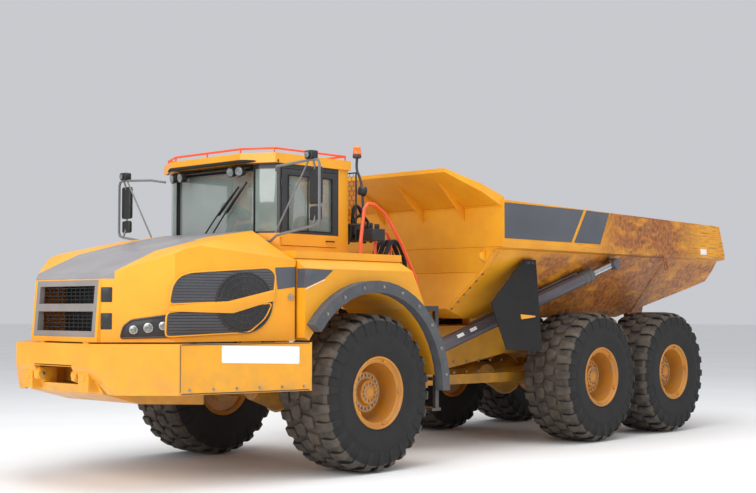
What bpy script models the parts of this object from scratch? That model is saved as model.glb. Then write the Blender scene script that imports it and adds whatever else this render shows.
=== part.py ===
"""A six-wheeled articulated dump truck, in metres: +X forward, +Z up, tyres standing on z = 0."""
import math

import bmesh
import bpy
import numpy as np
from mathutils import Matrix, Vector

# Driving dimensions
FRONT_OVERHANG = 3.12
WHEELBASE = 4.518
BOGIE_SPACING = 1.94
REAR_OVERHANG = 1.706
HALF_TRACK = 1.32
TYRE_RADIUS = 0.89
TYRE_HALF_WIDTH = 0.385
RIM_RADIUS = 0.40
HITCH_BEHIND_AXLE = 1.35
BED_HALF_WIDTH = 1.68
BED_RAIL_TOP = 3.20
BED_FLOOR_BOTTOM = 1.70
BED_WALL = 0.06
DECK_TOP = 2.45
CAB_HALF_WIDTH = 0.97
CAB_REAR = -0.23
CAB_FRONT = 0.98
CAB_ROOF_TOP = 3.56
PANEL = 0.05
GAP = 0.0003
PIN_GAP = 0.0006

# Stations along the machine, worked out from the sizes above
LENGTH = FRONT_OVERHANG + WHEELBASE + BOGIE_SPACING + REAR_OVERHANG
NOSE = LENGTH / 2
AXLE_1 = NOSE - FRONT_OVERHANG
AXLE_2 = AXLE_1 - WHEELBASE
AXLE_3 = AXLE_2 - BOGIE_SPACING
TAIL = AXLE_3 - REAR_OVERHANG
HITCH = AXLE_1 - HITCH_BEHIND_AXLE
BED_FRONT = HITCH - 0.95
BED_PIVOT = Vector((AXLE_3 - 0.55, 0, 1.48))
HOOD_REAR = AXLE_1 + 1.11
BUMPER_TOP = 1.476
HOOD_LOW = BUMPER_TOP + 0.014
HOOD_PIVOT = Vector((AXLE_1 + 3.00, 0, HOOD_LOW))
SHELF_TOP = BUMPER_TOP - 0.001
HOIST_FOOT = Vector((HITCH - 0.70, 0.80, 1.33))
HOIST_EYE = Vector((AXLE_2 - 0.48, BED_HALF_WIDTH - 0.12, 2.46))
STEER_FOOT = Vector((HITCH + 1.10, 0.58, 1.15))
STEER_EYE = Vector((HITCH - 0.20, 0.45, 1.15))
DOOR_PIVOT = Vector((AXLE_1 + 0.84, CAB_HALF_WIDTH + 0.011, 3.0))
RAIL_OUT = 0.55
HOIST_BALL = 0.10
EYE_BALL = 0.085
EAR_SPREAD = 0.06
EARS = 0.05
WHEEL_STEPS = 28

for old in list(bpy.data.objects):
    bpy.data.objects.remove(old, do_unlink=True)
PARTS = bpy.data.collections.new("articulated_dump_truck")
CUTTERS = bpy.data.collections.new("cutters")
for group in (PARTS, CUTTERS):
    bpy.context.scene.collection.children.link(group)
CUTTERS.hide_render = True


def material(name, colour, roughness, metallic=0.0, alpha=1.0):
    """A Principled material from an sRGB hex colour."""
    made = bpy.data.materials.new(name)
    made.use_nodes = True
    shader = made.node_tree.nodes["Principled BSDF"]
    srgb = [int(colour[i:i + 2], 16) / 255 for i in (0, 2, 4)]
    linear = [c / 12.92 if c < 0.04045 else ((c + 0.055) / 1.055) ** 2.4 for c in srgb]
    shader.inputs["Base Color"].default_value = (*linear, 1)
    shader.inputs["Roughness"].default_value = roughness
    shader.inputs["Metallic"].default_value = metallic
    shader.inputs["Alpha"].default_value = alpha
    return made


YELLOW = material("yellow_paint", "E9A82F", 0.4)
GREY = material("grey_paint", "8F8C8F", 0.45)
RIM_PAINT = material("rim_paint", "E09020", 0.5)
TYRE_RUBBER = material("tyre_rubber", "2B2B2D", 0.9)
SOFT_RUBBER = material("flare_rubber", "3A3B3E", 0.8)
ORANGE = material("orange_rail", "F05A28", 0.45)
DARK = material("dark_paint", "2F3033", 0.5)
GLASS = material("cab_glass", "9DAAA6", 0.05, alpha=0.35)
CYLINDER = material("cylinder_paint", "57535A", 0.4)
CHROME = material("rod_chrome", "C9CBCE", 0.15, 1.0)
SEAT_CLOTH = material("seat_cloth", "26272A", 0.9)
CAST = material("cast_block", "5A5B5C", 0.6, 0.5)


def keep(obj, name, finish):
    """Names a finished piece, gives it its material and files it with the parts."""
    obj.name = obj.data.name = name
    obj.hide_render = False
    obj.display_type = "TEXTURED"
    obj.data.materials.clear()
    obj.data.materials.append(finish)
    for group in list(obj.users_collection):
        group.objects.unlink(obj)
    PARTS.objects.link(obj)
    return obj


def loose(mesh, name="piece"):
    obj = bpy.data.objects.new(name, mesh)
    CUTTERS.objects.link(obj)
    obj.hide_render = True
    obj.display_type = "WIRE"
    return obj


def from_bmesh(bm, weld=True):
    if weld:
        bmesh.ops.remove_doubles(bm, verts=bm.verts, dist=1e-5)
    bmesh.ops.recalc_face_normals(bm, faces=bm.faces)
    mesh = bpy.data.meshes.new("piece")
    bm.to_mesh(mesh)
    bm.free()
    return loose(mesh)


def box(low, high):
    """A box between two corners."""
    low, high = Vector(low), Vector(high)
    bm = bmesh.new()
    place = Matrix.Translation((low + high) / 2) @ Matrix.Diagonal((*(high - low), 1))
    bmesh.ops.create_cube(bm, size=1, matrix=place)
    return from_bmesh(bm)


def boxed(centre, size):
    centre, half = Vector(centre), Vector(size) / 2
    return box(centre - half, centre + half)


def bar(start, end, radius, sides=12, end_radius=None):
    """A round bar from one point to another."""
    start, end = Vector(start), Vector(end)
    run = end - start
    turn = run.to_track_quat("Z", "Y").to_matrix().to_4x4()
    bm = bmesh.new()
    bmesh.ops.create_cone(
        bm, cap_ends=True, segments=sides, radius1=radius,
        radius2=radius if end_radius is None else end_radius, depth=run.length,
        matrix=Matrix.Translation((start + end) / 2) @ turn,
    )
    return from_bmesh(bm)


def ball(centre, radius):
    bm = bmesh.new()
    bmesh.ops.create_uvsphere(bm, u_segments=12, v_segments=8, radius=radius, matrix=Matrix.Translation(centre))
    return from_bmesh(bm)


AXES = {
    "X": Matrix(((0, 0, 1, 0), (1, 0, 0, 0), (0, 1, 0, 0), (0, 0, 0, 1))),
    "Y": Matrix(((1, 0, 0, 0), (0, 0, -1, 0), (0, 1, 0, 0), (0, 0, 0, 1))),
    "Z": Matrix.Identity(4),
}


def slab(outline, axis, low, high):
    """A flat outline, drawn as a filled curve, given thickness along one axis from low to high.

    The outline's two numbers are Y, Z across X; X, Z across Y; and X, Y across Z.
    """
    curve = bpy.data.curves.new("outline", "CURVE")
    curve.dimensions = "2D"
    curve.fill_mode = "BOTH"
    curve.extrude = (high - low) / 2
    line = curve.splines.new("POLY")
    line.points.add(len(outline) - 1)
    for point, (u, v) in zip(line.points, outline):
        point.co = (u, v, 0, 1)
    line.use_cyclic_u = True
    middle = (low + high) / 2
    shift = {"X": (middle, 0, 0), "Y": (0, middle, 0), "Z": (0, 0, middle)}[axis]
    return meshed(curve, Matrix.Translation(shift) @ AXES[axis])


def meshed(curve, place):
    """A curve turned into a closed mesh with its place in its points."""
    guide = bpy.data.objects.new("guide", curve)
    bpy.context.scene.collection.objects.link(guide)
    graph = bpy.context.evaluated_depsgraph_get()
    mesh = bpy.data.meshes.new_from_object(guide.evaluated_get(graph))
    bpy.data.objects.remove(guide)
    mesh.transform(place)
    bm = bmesh.new()
    bm.from_mesh(mesh)
    bpy.data.meshes.remove(mesh)
    return from_bmesh(bm)


def tube(points, radius, closed=False, resolution=2):
    """A bent tube through these points, with filled ends."""
    curve = bpy.data.curves.new("route", "CURVE")
    curve.dimensions = "3D"
    curve.bevel_depth = radius
    curve.bevel_resolution = resolution
    curve.use_fill_caps = not closed
    line = curve.splines.new("POLY")
    line.points.add(len(points) - 1)
    for point, place in zip(line.points, points):
        point.co = (*place, 1)
    line.use_cyclic_u = closed
    return meshed(curve, Matrix.Identity(4))


def turned(profile, centre, side=1, steps=WHEEL_STEPS):
    """A profile of (outward, radius) points turned about the Y axis through centre."""
    bm = bmesh.new()
    rings = [bm.verts.new((0, side * out, -radius)) for out, radius in profile]
    edges = [bm.edges.new(pair) for pair in zip(rings, rings[1:])]
    if profile[0][1] > 0:
        edges.append(bm.edges.new((rings[-1], rings[0])))
    bmesh.ops.spin(
        bm, geom=rings + edges, cent=(0, 0, 0), axis=(0, 1, 0),
        angle=math.tau, steps=steps, use_merge=False,
    )
    bmesh.ops.transform(bm, matrix=Matrix.Translation(centre), verts=bm.verts)
    return from_bmesh(bm)


def combine(base, others, operation):
    """Booleans the others into the base one by one, and keeps only the result."""
    for other in others:
        modifier = base.modifiers.new(operation.lower(), "BOOLEAN")
        modifier.operation = operation
        modifier.solver = "EXACT"
        modifier.object = other
        bpy.context.view_layer.update()
        graph = bpy.context.evaluated_depsgraph_get()
        mesh = bpy.data.meshes.new_from_object(base.evaluated_get(graph))
        base.modifiers.clear()
        spent = base.data
        base.data = mesh
        bpy.data.meshes.remove(spent)
        bpy.data.objects.remove(other)
    bm = bmesh.new()
    bm.from_mesh(base.data)
    bmesh.ops.remove_doubles(bm, verts=bm.verts, dist=1e-5)
    bm.to_mesh(base.data)
    bm.free()
    return base


def join(base, *others):
    return combine(base, others, "UNION")


def cut(base, *others):
    return combine(base, others, "DIFFERENCE")


def meet(base, *others):
    return combine(base, others, "INTERSECT")


def copied(obj):
    return loose(obj.data.copy())


def mirrored(obj):
    """A copy on the other side of the machine."""
    twin = copied(obj)
    bm = bmesh.new()
    bm.from_mesh(twin.data)
    bmesh.ops.scale(bm, vec=(1, -1, 1), verts=bm.verts)
    bmesh.ops.reverse_faces(bm, faces=bm.faces)
    bm.to_mesh(twin.data)
    bm.free()
    return twin


def pivot(name, place, pieces):
    """An empty on a joint's axis that carries its pieces."""
    holder = bpy.data.objects.new(name, None)
    holder.location = place
    PARTS.objects.link(holder)
    bpy.context.view_layer.update()
    for piece in pieces:
        piece.parent = holder
        piece.matrix_parent_inverse = holder.matrix_world.inverted()


def even(points):
    """An outline given for +Y only, completed by its mirror image."""
    return points + [(u, -v) for u, v in reversed(points)]


def evenly(points):
    """An outline of (y, z) points given for +Y only, completed by its mirror image."""
    return points + [(-u, v) for u, v in reversed(points)]


def arc(centre, radius, start, end, count):
    return [
        (centre[0] + radius * math.cos(a), centre[1] + radius * math.sin(a))
        for a in np.radians(np.linspace(start, end, count))
    ]


# Wheels
TYRE_PROFILE = [
    (-0.34, RIM_RADIUS), (0.34, RIM_RADIUS), (0.34, RIM_RADIUS + 0.07),
    (TYRE_HALF_WIDTH, TYRE_RADIUS - 0.32), (TYRE_HALF_WIDTH, TYRE_RADIUS - 0.15),
    (TYRE_HALF_WIDTH - 0.06, TYRE_RADIUS - 0.03), (TYRE_HALF_WIDTH - 0.14, TYRE_RADIUS),
]
RIM_PROFILE = [
    (-0.14, 0), (-0.14, RIM_RADIUS - 0.04), (-0.365, RIM_RADIUS - 0.04), (-0.365, RIM_RADIUS + 0.02),
    (-0.3405, RIM_RADIUS + 0.02), (-0.3405, RIM_RADIUS - GAP), (0.3405, RIM_RADIUS - GAP),
    (0.3405, RIM_RADIUS + 0.02), (0.365, RIM_RADIUS + 0.02), (0.365, RIM_RADIUS - 0.04),
    (-0.02, RIM_RADIUS - 0.05), (-0.02, 0.24), (0.10, 0.20), (0.10, 0),
]
AXLE_END = HALF_TRACK - 0.14 - GAP
AXLE_TUBE = 0.15


def wheel(name, x, side):
    centre = (x, side * HALF_TRACK, TYRE_RADIUS)
    half = TYRE_PROFILE[2:]
    loop = TYRE_PROFILE + [(-out, radius) for out, radius in reversed(half)]
    tyre = keep(turned(loop, centre, side), f"tyre_{name}", TYRE_RUBBER)
    rim = keep(turned(RIM_PROFILE, centre, side), f"rim_{name}", RIM_PAINT)
    pivot(f"spin_{name}", centre, (tyre, rim))


for station, x in (("front", AXLE_1), ("middle", AXLE_2), ("rear", AXLE_3)):
    wheel(f"{station}_left", x, 1)
    wheel(f"{station}_right", x, -1)


def axle(x, extras=()):
    """A solid axle: the tube, the hub ends and the final drive's round case."""
    half = [(0.98, AXLE_TUBE), (0.98, 0.22), (AXLE_END, 0.22), (AXLE_END, 0)]
    profile = [(-out, radius) for out, radius in reversed(half)] + half
    tube_piece = turned(profile, (x, 0, TYRE_RADIUS), steps=16)
    case = bar((x - 0.02, 0, TYRE_RADIUS), (x + 0.42, 0, TYRE_RADIUS), 0.30, 16, 0.14)
    bell = bar((x - 0.25, 0, TYRE_RADIUS), (x + 0.02, 0, TYRE_RADIUS), 0.17, 16, 0.31)
    return join(tube_piece, case, bell, *extras)


# Front unit
FRAME_LOW = TYRE_RADIUS + AXLE_TUBE + 0.02
FRAME_HIGH = FRAME_LOW + 0.30
CLEVIS_Z = ((0.78, 0.86), (1.42, 1.50))


def front_frame():
    rails = box((HITCH + 1.02, -0.50, FRAME_LOW), (NOSE - 0.42, 0.50, FRAME_HIGH))
    bay = box((HITCH + 0.9, -0.42, FRAME_LOW - 1), (NOSE - 0.60, 0.42, FRAME_HIGH + 1))
    cross = box((HITCH + 0.35, -0.30, CLEVIS_Z[0][0]), (HITCH + 0.55, 0.30, CLEVIS_Z[1][1]))
    neck = box((HITCH + 0.50, -0.18, 0.80), (HITCH + 1.09, 0.18, FRAME_HIGH - 0.01))
    roof = box((HITCH + 0.36, -0.50, FRAME_HIGH - 0.09), (HITCH + 1.06, 0.50, FRAME_HIGH))
    plates = [box((HITCH - 0.14, -0.18, low), (HITCH + 0.40, 0.18, high)) for low, high in CLEVIS_Z]
    pads = [
        box((AXLE_1 - 0.12, side * 0.42, TYRE_RADIUS + AXLE_TUBE + GAP), (AXLE_1 + 0.12, side * 0.50, FRAME_LOW + 0.1))
        for side in (-1, 1)
    ]
    ears = []
    for side in (-1, 1):
        for level in (-1, 1):
            start = STEER_FOOT.z + level * EAR_SPREAD
            ears.append(boxed((STEER_FOOT.x, side * (STEER_FOOT.y - 0.04), start + level * EARS / 2), (0.20, 0.26, EARS)))
    pylons = [box((AXLE_1 + 0.70, side * 0.42, FRAME_HIGH - 0.1), (AXLE_1 + 1.0, side * 0.50, DECK_TOP - 0.08 - GAP))
              for side in (-1, 1)]
    hangers = [box((AXLE_1 - 0.55, side * 0.42, FRAME_HIGH - 0.1), (AXLE_1 - 0.35, side * 0.50, DECK_TOP - 0.08 - GAP))
               for side in (-1, 1)]
    rails = cut(rails, bay)
    return keep(join(rails, roof, neck, cross, *plates, *pads, *ears, *pylons, *hangers), "front_frame", YELLOW)


def front_bumper():
    """The wrap-round bumper with its open recess, skid plate and two tow lugs."""
    def plan(inset):
        return even([
            (NOSE - inset, 0.69 - inset * 0.6), (AXLE_1 + 2.55 - inset * 0.8, 1.35 - inset),
            (AXLE_1 + 1.10, 1.74 - inset * 1.05),
        ])
    shell = slab(plan(0), "Z", 0.97, BUMPER_TOP)
    inner = slab(plan(0.07), "Z", 0.5, 2.0)
    rear = box((AXLE_1 + 1.0, -1.60, 0.5), (AXLE_1 + 1.30, 1.60, 2))
    shell = cut(shell, inner, rear)
    slope = [(NOSE + 0.1, 0.5), (NOSE + 0.1, 1.24), (NOSE, 1.24), (NOSE - 0.16, 0.97), (NOSE - 0.9, 0.82), (NOSE - 0.9, 0.5)]
    belly = slab(
        [(NOSE - 0.04, 1.20), (NOSE - 0.17, 0.97), (NOSE - 0.62, 0.85), (NOSE - 1.45, 0.80),
         (NOSE - 1.45, 0.99), (NOSE - 0.20, 1.00), (NOSE - 0.08, 1.20)],
        "Y", -0.66, 0.66,
    )
    shell = cut(shell, slab(slope, "Y", -2, 2))
    shelf = box((AXLE_1 + 2.30, -1.20, BUMPER_TOP - 0.05), (NOSE - 0.05, 1.20, SHELF_TOP))
    shelf = meet(shelf, slab(plan(0.02), "Z", 1, 2))
    seats = [box((HOOD_PIVOT.x - 0.10, side * 0.40 - 0.05, SHELF_TOP - 0.03),
                 (HOOD_PIVOT.x - 0.005, side * 0.40 + 0.05, HOOD_LOW - GAP)) for side in (-1, 1)]
    recess = box((NOSE - 0.20, -0.34, 1.06), (NOSE + 0.1, 0.34, 1.26))
    carriers = [box((NOSE - 0.75, side * 0.42, 1.00), (NOSE - 0.03, side * 0.60, 1.40)) for side in (-1, 1)]
    carriers = [cut(piece, box((NOSE - 0.8, -0.50 - GAP, FRAME_LOW - 0.01), (NOSE - 0.42 + GAP, 0.50 + GAP, FRAME_HIGH + 0.01)))
                for piece in carriers]
    shell = join(shell, belly, shelf, *carriers, *seats)
    shell = cut(shell, recess)
    return keep(shell, "front_bumper", YELLOW)


def fender(side):
    """One front wing: the arch over the tyre, up to the deck's edge, with its rubber flare."""
    centre = (AXLE_1 + 0.08, TYRE_RADIUS)
    deck_low = DECK_TOP - 0.08 - GAP
    outline = [
        (AXLE_1 + 1.09, deck_low), (AXLE_1 - 0.58, deck_low), (AXLE_1 - 0.98, 1.62),
        (AXLE_1 - 1.04, 1.05), (AXLE_1 - 0.9, 1.05), (AXLE_1, 1.05), (AXLE_1 + 1.09, 1.52),
    ]
    wing = slab(outline, "Y", 0.62, 1.62)
    slope = slab(
        [(1.46, deck_low + 0.1), (1.46, deck_low), (1.62, deck_low - 0.11), (1.9, deck_low - 0.11), (1.9, deck_low + 0.1)],
        "X", AXLE_1 - 2, AXLE_1 + 2,
    )
    well = slab(arc(centre, 1.12, 0, 360, 33)[:-1], "Y", 0.5, 2)
    inner = box((AXLE_1 - 2, 0.5, 0.9), (AXLE_1 - 0.60, 0.86, 1.75))
    wing = cut(wing, slope, well, inner)
    band = arc(centre, 1.25, 38, 181, 20) + arc(centre, 1.12 + GAP, 181, 38, 20)
    flare = slab(band, "Y", 1.62 + GAP, 1.74)
    if side < 0:
        wing, flare = (turn_over(piece) for piece in (wing, flare))
    name = "left" if side > 0 else "right"
    keep(wing, f"fender_{name}", YELLOW)
    keep(flare, f"flare_{name}", SOFT_RUBBER)


def turn_over(obj):
    twin = mirrored(obj)
    bpy.data.objects.remove(obj)
    return twin


def deck():
    plate = slab(
        even([(HOOD_REAR - 0.01, 1.48), (AXLE_1 - 0.60, 1.48)]), "Z", DECK_TOP - 0.08, DECK_TOP,
    )
    cowl = box((AXLE_1 + CAB_FRONT + 0.005, -0.92, DECK_TOP - 0.04), (HOOD_REAR - 0.01, 0.92, 2.62))
    keep(join(plate, cowl), "deck", DARK)


def hood():
    """The tilting hood: yellow sides, grey top panel and grille, all from one shell."""
    def shell_form(inset, low):
        side = slab(
            [(AXLE_1 + 3.00 - inset, low), (AXLE_1 + 2.95 - inset, 2.14 - inset * 0.6),
             (AXLE_1 + 2.85 - inset * 0.5, 2.21 - inset), (AXLE_1 + 2.35, 2.43 - inset),
             (AXLE_1 + 1.60, 2.61 - inset), (HOOD_REAR - inset * 4, 2.69 - inset), (HOOD_REAR - inset * 4, low)],
            "Y", -1.6, 1.6,
        )
        plan = slab(
            even([(AXLE_1 + 3.05 - inset, 0.60 - inset * 0.5), (AXLE_1 + 2.95 - inset, 0.60 - inset * 0.5),
                  (AXLE_1 + 2.45, 1.15 - inset), (HOOD_REAR - 1, 1.50 + 0.26 - inset)]),
            "Z", 1, 3,
        )
        section = slab(
            evenly([(0.5, 2.75 - inset), (0.78, 2.70 - inset), (1.22, 2.47 - inset), (1.7, 2.26 - inset), (1.7, low)]),
            "X", AXLE_1, NOSE + 0.1,
        )
        return meet(side, plan, section)
    low = HOOD_LOW
    shell = cut(shell_form(0, low), shell_form(PANEL, low - 1))
    top_plan = [(AXLE_1 + 3.1, 0.47), (AXLE_1 + 2.51, 0.50), (HOOD_REAR - 0.2, 0.79)]
    panel_cut = slab(even(top_plan), "Z", 2.19, 3)
    panel_keep = slab(even([(x, y - GAP) for x, y in top_plan]), "Z", 2.19 + GAP, 3)
    panel = meet(copied(shell), panel_keep)
    face_cut = box((AXLE_1 + 2.80, -0.56, 1.54), (NOSE + 0.2, 0.56, 2.12))
    face_keep = box((AXLE_1 + 2.80 + GAP, -0.56 + GAP, 1.54 + GAP), (NOSE + 0.2, 0.56 - GAP, 2.12 - GAP))
    face = meet(copied(shell), face_keep)
    shell = cut(shell, panel_cut, face_cut)
    for low_slot, high_slot in ((1.60, 1.80), (1.88, 2.06)):
        face = cut(face, box((AXLE_1 + 2.5, -0.50, low_slot), (NOSE + 0.3, 0.50, high_slot)))
    shell = keep(shell, "hood", YELLOW)
    panel = keep(panel, "hood_top", GREY)
    face = keep(face, "grille", GREY)
    pivot("hood_tilt", HOOD_PIVOT, (shell, panel, face))


def cab_plan(inset):
    return even([
        (AXLE_1 + CAB_FRONT - inset, 0.76 - inset * 0.4), (AXLE_1 + 0.86 - inset * 0.4, CAB_HALF_WIDTH - inset),
        (AXLE_1 + CAB_REAR + inset, CAB_HALF_WIDTH - inset),
    ])


WINDOW_LOW, WINDOW_HIGH = 2.68, 3.38
CAB_FLOOR = DECK_TOP + GAP
ROOF_LOW = 3.45
DOOR_X = (AXLE_1 - 0.04, AXLE_1 + 0.84)


def cab():
    """The hollow cab: shell with window openings, roof, glass and a door on the left."""
    shell = slab(cab_plan(0), "Z", CAB_FLOOR, ROOF_LOW)
    room = slab(cab_plan(0.06), "Z", CAB_FLOOR + 0.06, ROOF_LOW + 1)
    side_hole = box((DOOR_X[0], -2, WINDOW_LOW), (DOOR_X[1] - 0.06, -0.5, WINDOW_HIGH))
    door_hole = box((DOOR_X[0], 0.5, CAB_FLOOR + 0.08), (DOOR_X[1], 2, WINDOW_HIGH + 0.02))
    front_hole = box((AXLE_1 + 0.7, -0.68, WINDOW_LOW), (AXLE_1 + 2, 0.68, WINDOW_HIGH))
    rear_hole = box((AXLE_1 - 1, -0.75, WINDOW_LOW), (AXLE_1, 0.75, WINDOW_HIGH))
    shell = cut(shell, room, side_hole, door_hole, front_hole, rear_hole)
    keep(shell, "cab_shell", DARK)
    roof = slab(
        even([(AXLE_1 + 1.14, 0.62), (AXLE_1 + 0.95, 1.0), (AXLE_1 + CAB_REAR - 0.02, 1.0)]),
        "Z", ROOF_LOW + GAP, CAB_ROOF_TOP,
    )
    keep(roof, "cab_roof", YELLOW)
    thin = 0.012

    def pane(name, low, high):
        keep(box([a + GAP for a in low], [a - GAP for a in high]), name, GLASS)
    middle = AXLE_1 + CAB_FRONT - 0.03
    pane("windshield", (middle - thin, -0.68, WINDOW_LOW), (middle, 0.68, WINDOW_HIGH))
    middle = -CAB_HALF_WIDTH + 0.03
    pane("side_window_right", (DOOR_X[0], middle, WINDOW_LOW), (DOOR_X[1] - 0.06, middle + thin, WINDOW_HIGH))
    middle = AXLE_1 + CAB_REAR + 0.03
    pane("rear_window", (middle - thin, -0.75, WINDOW_LOW), (middle, 0.75, WINDOW_HIGH))
    clear = 0.006
    door = box((DOOR_X[0] + clear, CAB_HALF_WIDTH - 0.05, CAB_FLOOR + 0.08 + clear),
               (DOOR_X[1] - clear, CAB_HALF_WIDTH + 0.008, WINDOW_HIGH + 0.02 - clear))
    hole = box((DOOR_X[0] + 0.08, 0.5, WINDOW_LOW + 0.02), (DOOR_X[1] - 0.10, 2, WINDOW_HIGH - 0.05))
    hinge = [bar((DOOR_PIVOT.x, DOOR_PIVOT.y, z), (DOOR_PIVOT.x, DOOR_PIVOT.y, z + 0.08), 0.0107, 16)
             for z in (2.62, 3.2)]
    door = keep(join(cut(door, hole), *hinge), "cab_door", DARK)
    glass = box((DOOR_X[0] + 0.08 + GAP, CAB_HALF_WIDTH - 0.025, WINDOW_LOW + 0.02 + GAP),
                (DOOR_X[1] - 0.10 - GAP, CAB_HALF_WIDTH - 0.013, WINDOW_HIGH - 0.05 - GAP))
    glass = keep(glass, "door_glass", GLASS)
    pivot("door_swing", DOOR_PIVOT, (door, glass))
    floor = CAB_FLOOR + 0.06 + GAP
    base = box((AXLE_1 + 0.02, -0.18, floor), (AXLE_1 + 0.38, 0.18, floor + 0.22))
    cushion = box((AXLE_1 - 0.02, -0.26, floor + 0.2), (AXLE_1 + 0.48, 0.26, floor + 0.34))
    rest = slab([(AXLE_1 - 0.04, floor + 0.28), (AXLE_1 + 0.08, floor + 0.28), (AXLE_1 - 0.02, floor + 0.84),
                 (AXLE_1 - 0.12, floor + 0.84)], "Y", -0.24, 0.24)
    keep(join(base, cushion, rest), "seat", SEAT_CLOTH)
    column = bar((AXLE_1 + 0.86, 0, floor + 0.02), (AXLE_1 + 0.66, 0, floor + 0.46), 0.04)
    foot = box((AXLE_1 + 0.72, -0.12, floor), (AXLE_1 + 0.90, 0.12, floor + 0.14))
    wheel_disc = bar((AXLE_1 + 0.67, 0, floor + 0.44), (AXLE_1 + 0.655, 0, floor + 0.47), 0.19, 20)
    keep(join(foot, column, wheel_disc), "steering_column", DARK)


def mirror(side):
    """A tube arm off the cowl's corner with two mirror heads and a lamp box on top."""
    out, x = side * 1.80, AXLE_1 + 1.04
    arm = tube(
        [(x, side * (0.92 + GAP), 2.57), (x, side * 1.02, 2.57), (x, side * 1.10, 2.62), (x, out, 2.75), (x, out, 3.42),
         (x, side * 1.05, 3.38), (AXLE_1 + 0.93, side * (CAB_HALF_WIDTH + 0.03), 3.36)],
        0.022, resolution=1,
    )
    brace = tube([(x, side * 1.79, 2.95), (x, side * 1.16, 2.64)], 0.014, resolution=1)
    big = boxed((x + 0.03, side * 1.64, 3.16), (0.07, 0.26, 0.44))
    small = boxed((x + 0.03, side * 1.64, 2.84), (0.06, 0.24, 0.17))
    bars = [box((x - 0.012, side * 1.64 - 0.012, 2.70), (x + 0.012, side * 1.64 + 0.012, 3.42))]
    piece = join(arm, brace, *bars, big, small)
    keep(piece, "mirror_left" if side > 0 else "mirror_right", DARK)


def access():
    """Steps behind the left front wheel and the two orange handrails."""
    x = AXLE_1 - 1.06
    inner, outer = 1.26, 1.58
    pieces = [box((x - 0.09, y, 0.62), (x - 0.03, y + 0.04, 1.86)) for y in (inner, outer - 0.04)]
    pieces += [box((x - 0.13, inner, z), (x + 0.03, outer, z + 0.035)) for z in (0.62, 0.98, 1.34)]
    hang = box((x - 0.09, inner, 1.80), (AXLE_1 - 0.90, outer, 1.86))
    hang = cut(hang, slab([(AXLE_1 - 0.58 - GAP, 2.4), (AXLE_1 - 0.98 - GAP, 1.62), (AXLE_1 - 1.04, 1.05),
                           (AXLE_1 + 1, 1.05), (AXLE_1 + 1, 2.4)], "Y", 0, 2))
    keep(join(*pieces, hang), "access_steps", DARK)
    y, foot = 1.30, DECK_TOP + GAP
    deck_low = DECK_TOP - 0.08 - GAP
    seat = deck_low - (0.72 - 0.019 - 0.58) * (deck_low - 1.62) / 0.40 + 2 * GAP
    long_rail = tube(
        [(AXLE_1 - 0.10, y, foot), (AXLE_1 - 0.10, y, 2.60), (AXLE_1 - 0.16, y, 2.98), (AXLE_1 - 0.22, y, 3.04), (AXLE_1 - 0.33, y, 3.04),
         (AXLE_1 - 0.50, y, 2.95), (AXLE_1 - 0.80, y, 2.60), (AXLE_1 - 1.05, y, 2.20), (AXLE_1 - 1.12, y, 1.98),
         (AXLE_1 - 1.12, y, 1.86 + GAP)],
        0.021, resolution=1,
    )
    short_rail = tube(
        [(AXLE_1 - 0.45, y - 0.10, foot), (AXLE_1 - 0.45, y - 0.10, 2.66), (AXLE_1 - 0.52, y - 0.10, 2.74),
         (AXLE_1 - 0.66, y - 0.10, 2.72), (AXLE_1 - 0.72, y - 0.10, 2.62), (AXLE_1 - 0.72, y - 0.10, seat)],
        0.019, resolution=1,
    )
    keep(long_rail, "handrail_long", ORANGE)
    keep(short_rail, "handrail_short", ORANGE)


def behind_cab():
    """The air cleaner, the mesh guard and the beacon's post, all on the deck behind the cab."""
    x = AXLE_1 + CAB_REAR
    can = bar((x - 0.20, -0.55, DECK_TOP + 0.20), (x - 0.20, 0.35, DECK_TOP + 0.20), 0.15, 16)
    feet = box((x - 0.26, -0.45, DECK_TOP + GAP), (x - 0.14, 0.25, DECK_TOP + 0.12))
    keep(join(can, feet), "air_cleaner", DARK)
    post = tube(
        [(x - 0.10, 1.10, DECK_TOP + GAP), (x - 0.10, 1.10, 3.30), (x - 0.10, 1.02, 3.44)], 0.022, resolution=1,
    )
    lamp = boxed((x - 0.10, 1.14, 3.20), (0.11, 0.13, 0.14))
    tie = box((x - 0.11, CAB_HALF_WIDTH - 0.1, 2.80), (x - GAP, 1.10, 2.83))
    dome = bar((x - 0.10, 1.02, 3.42), (x - 0.10, 1.02, 3.75), 0.055, 14, 0.045)
    keep(join(post, lamp, dome, tie), "beacon_post", DARK)


def front_unit():
    front_frame()
    front_bumper()
    keep(axle(AXLE_1), "front_axle", YELLOW)
    for side in (1, -1):
        fender(side)
        mirror(side)
    deck()
    hood()
    cab()
    access()
    behind_cab()
    engine = box((AXLE_1 + 1.02, -0.40, FRAME_LOW + 0.06), (AXLE_1 + 2.22, 0.40, 2.22))
    mounts = box((AXLE_1 + 1.3, -0.46, FRAME_HIGH + GAP), (AXLE_1 + 1.6, 0.46, FRAME_HIGH + 0.1))
    keep(join(engine, mounts), "engine_block", CAST)
    radiator = box((AXLE_1 + 2.50, -0.46, SHELF_TOP + GAP), (AXLE_1 + 2.66, 0.46, 2.14))
    keep(radiator, "radiator", DARK)


# Rear unit
REAR_TOP, REAR_LOW = 1.60, 1.21


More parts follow.
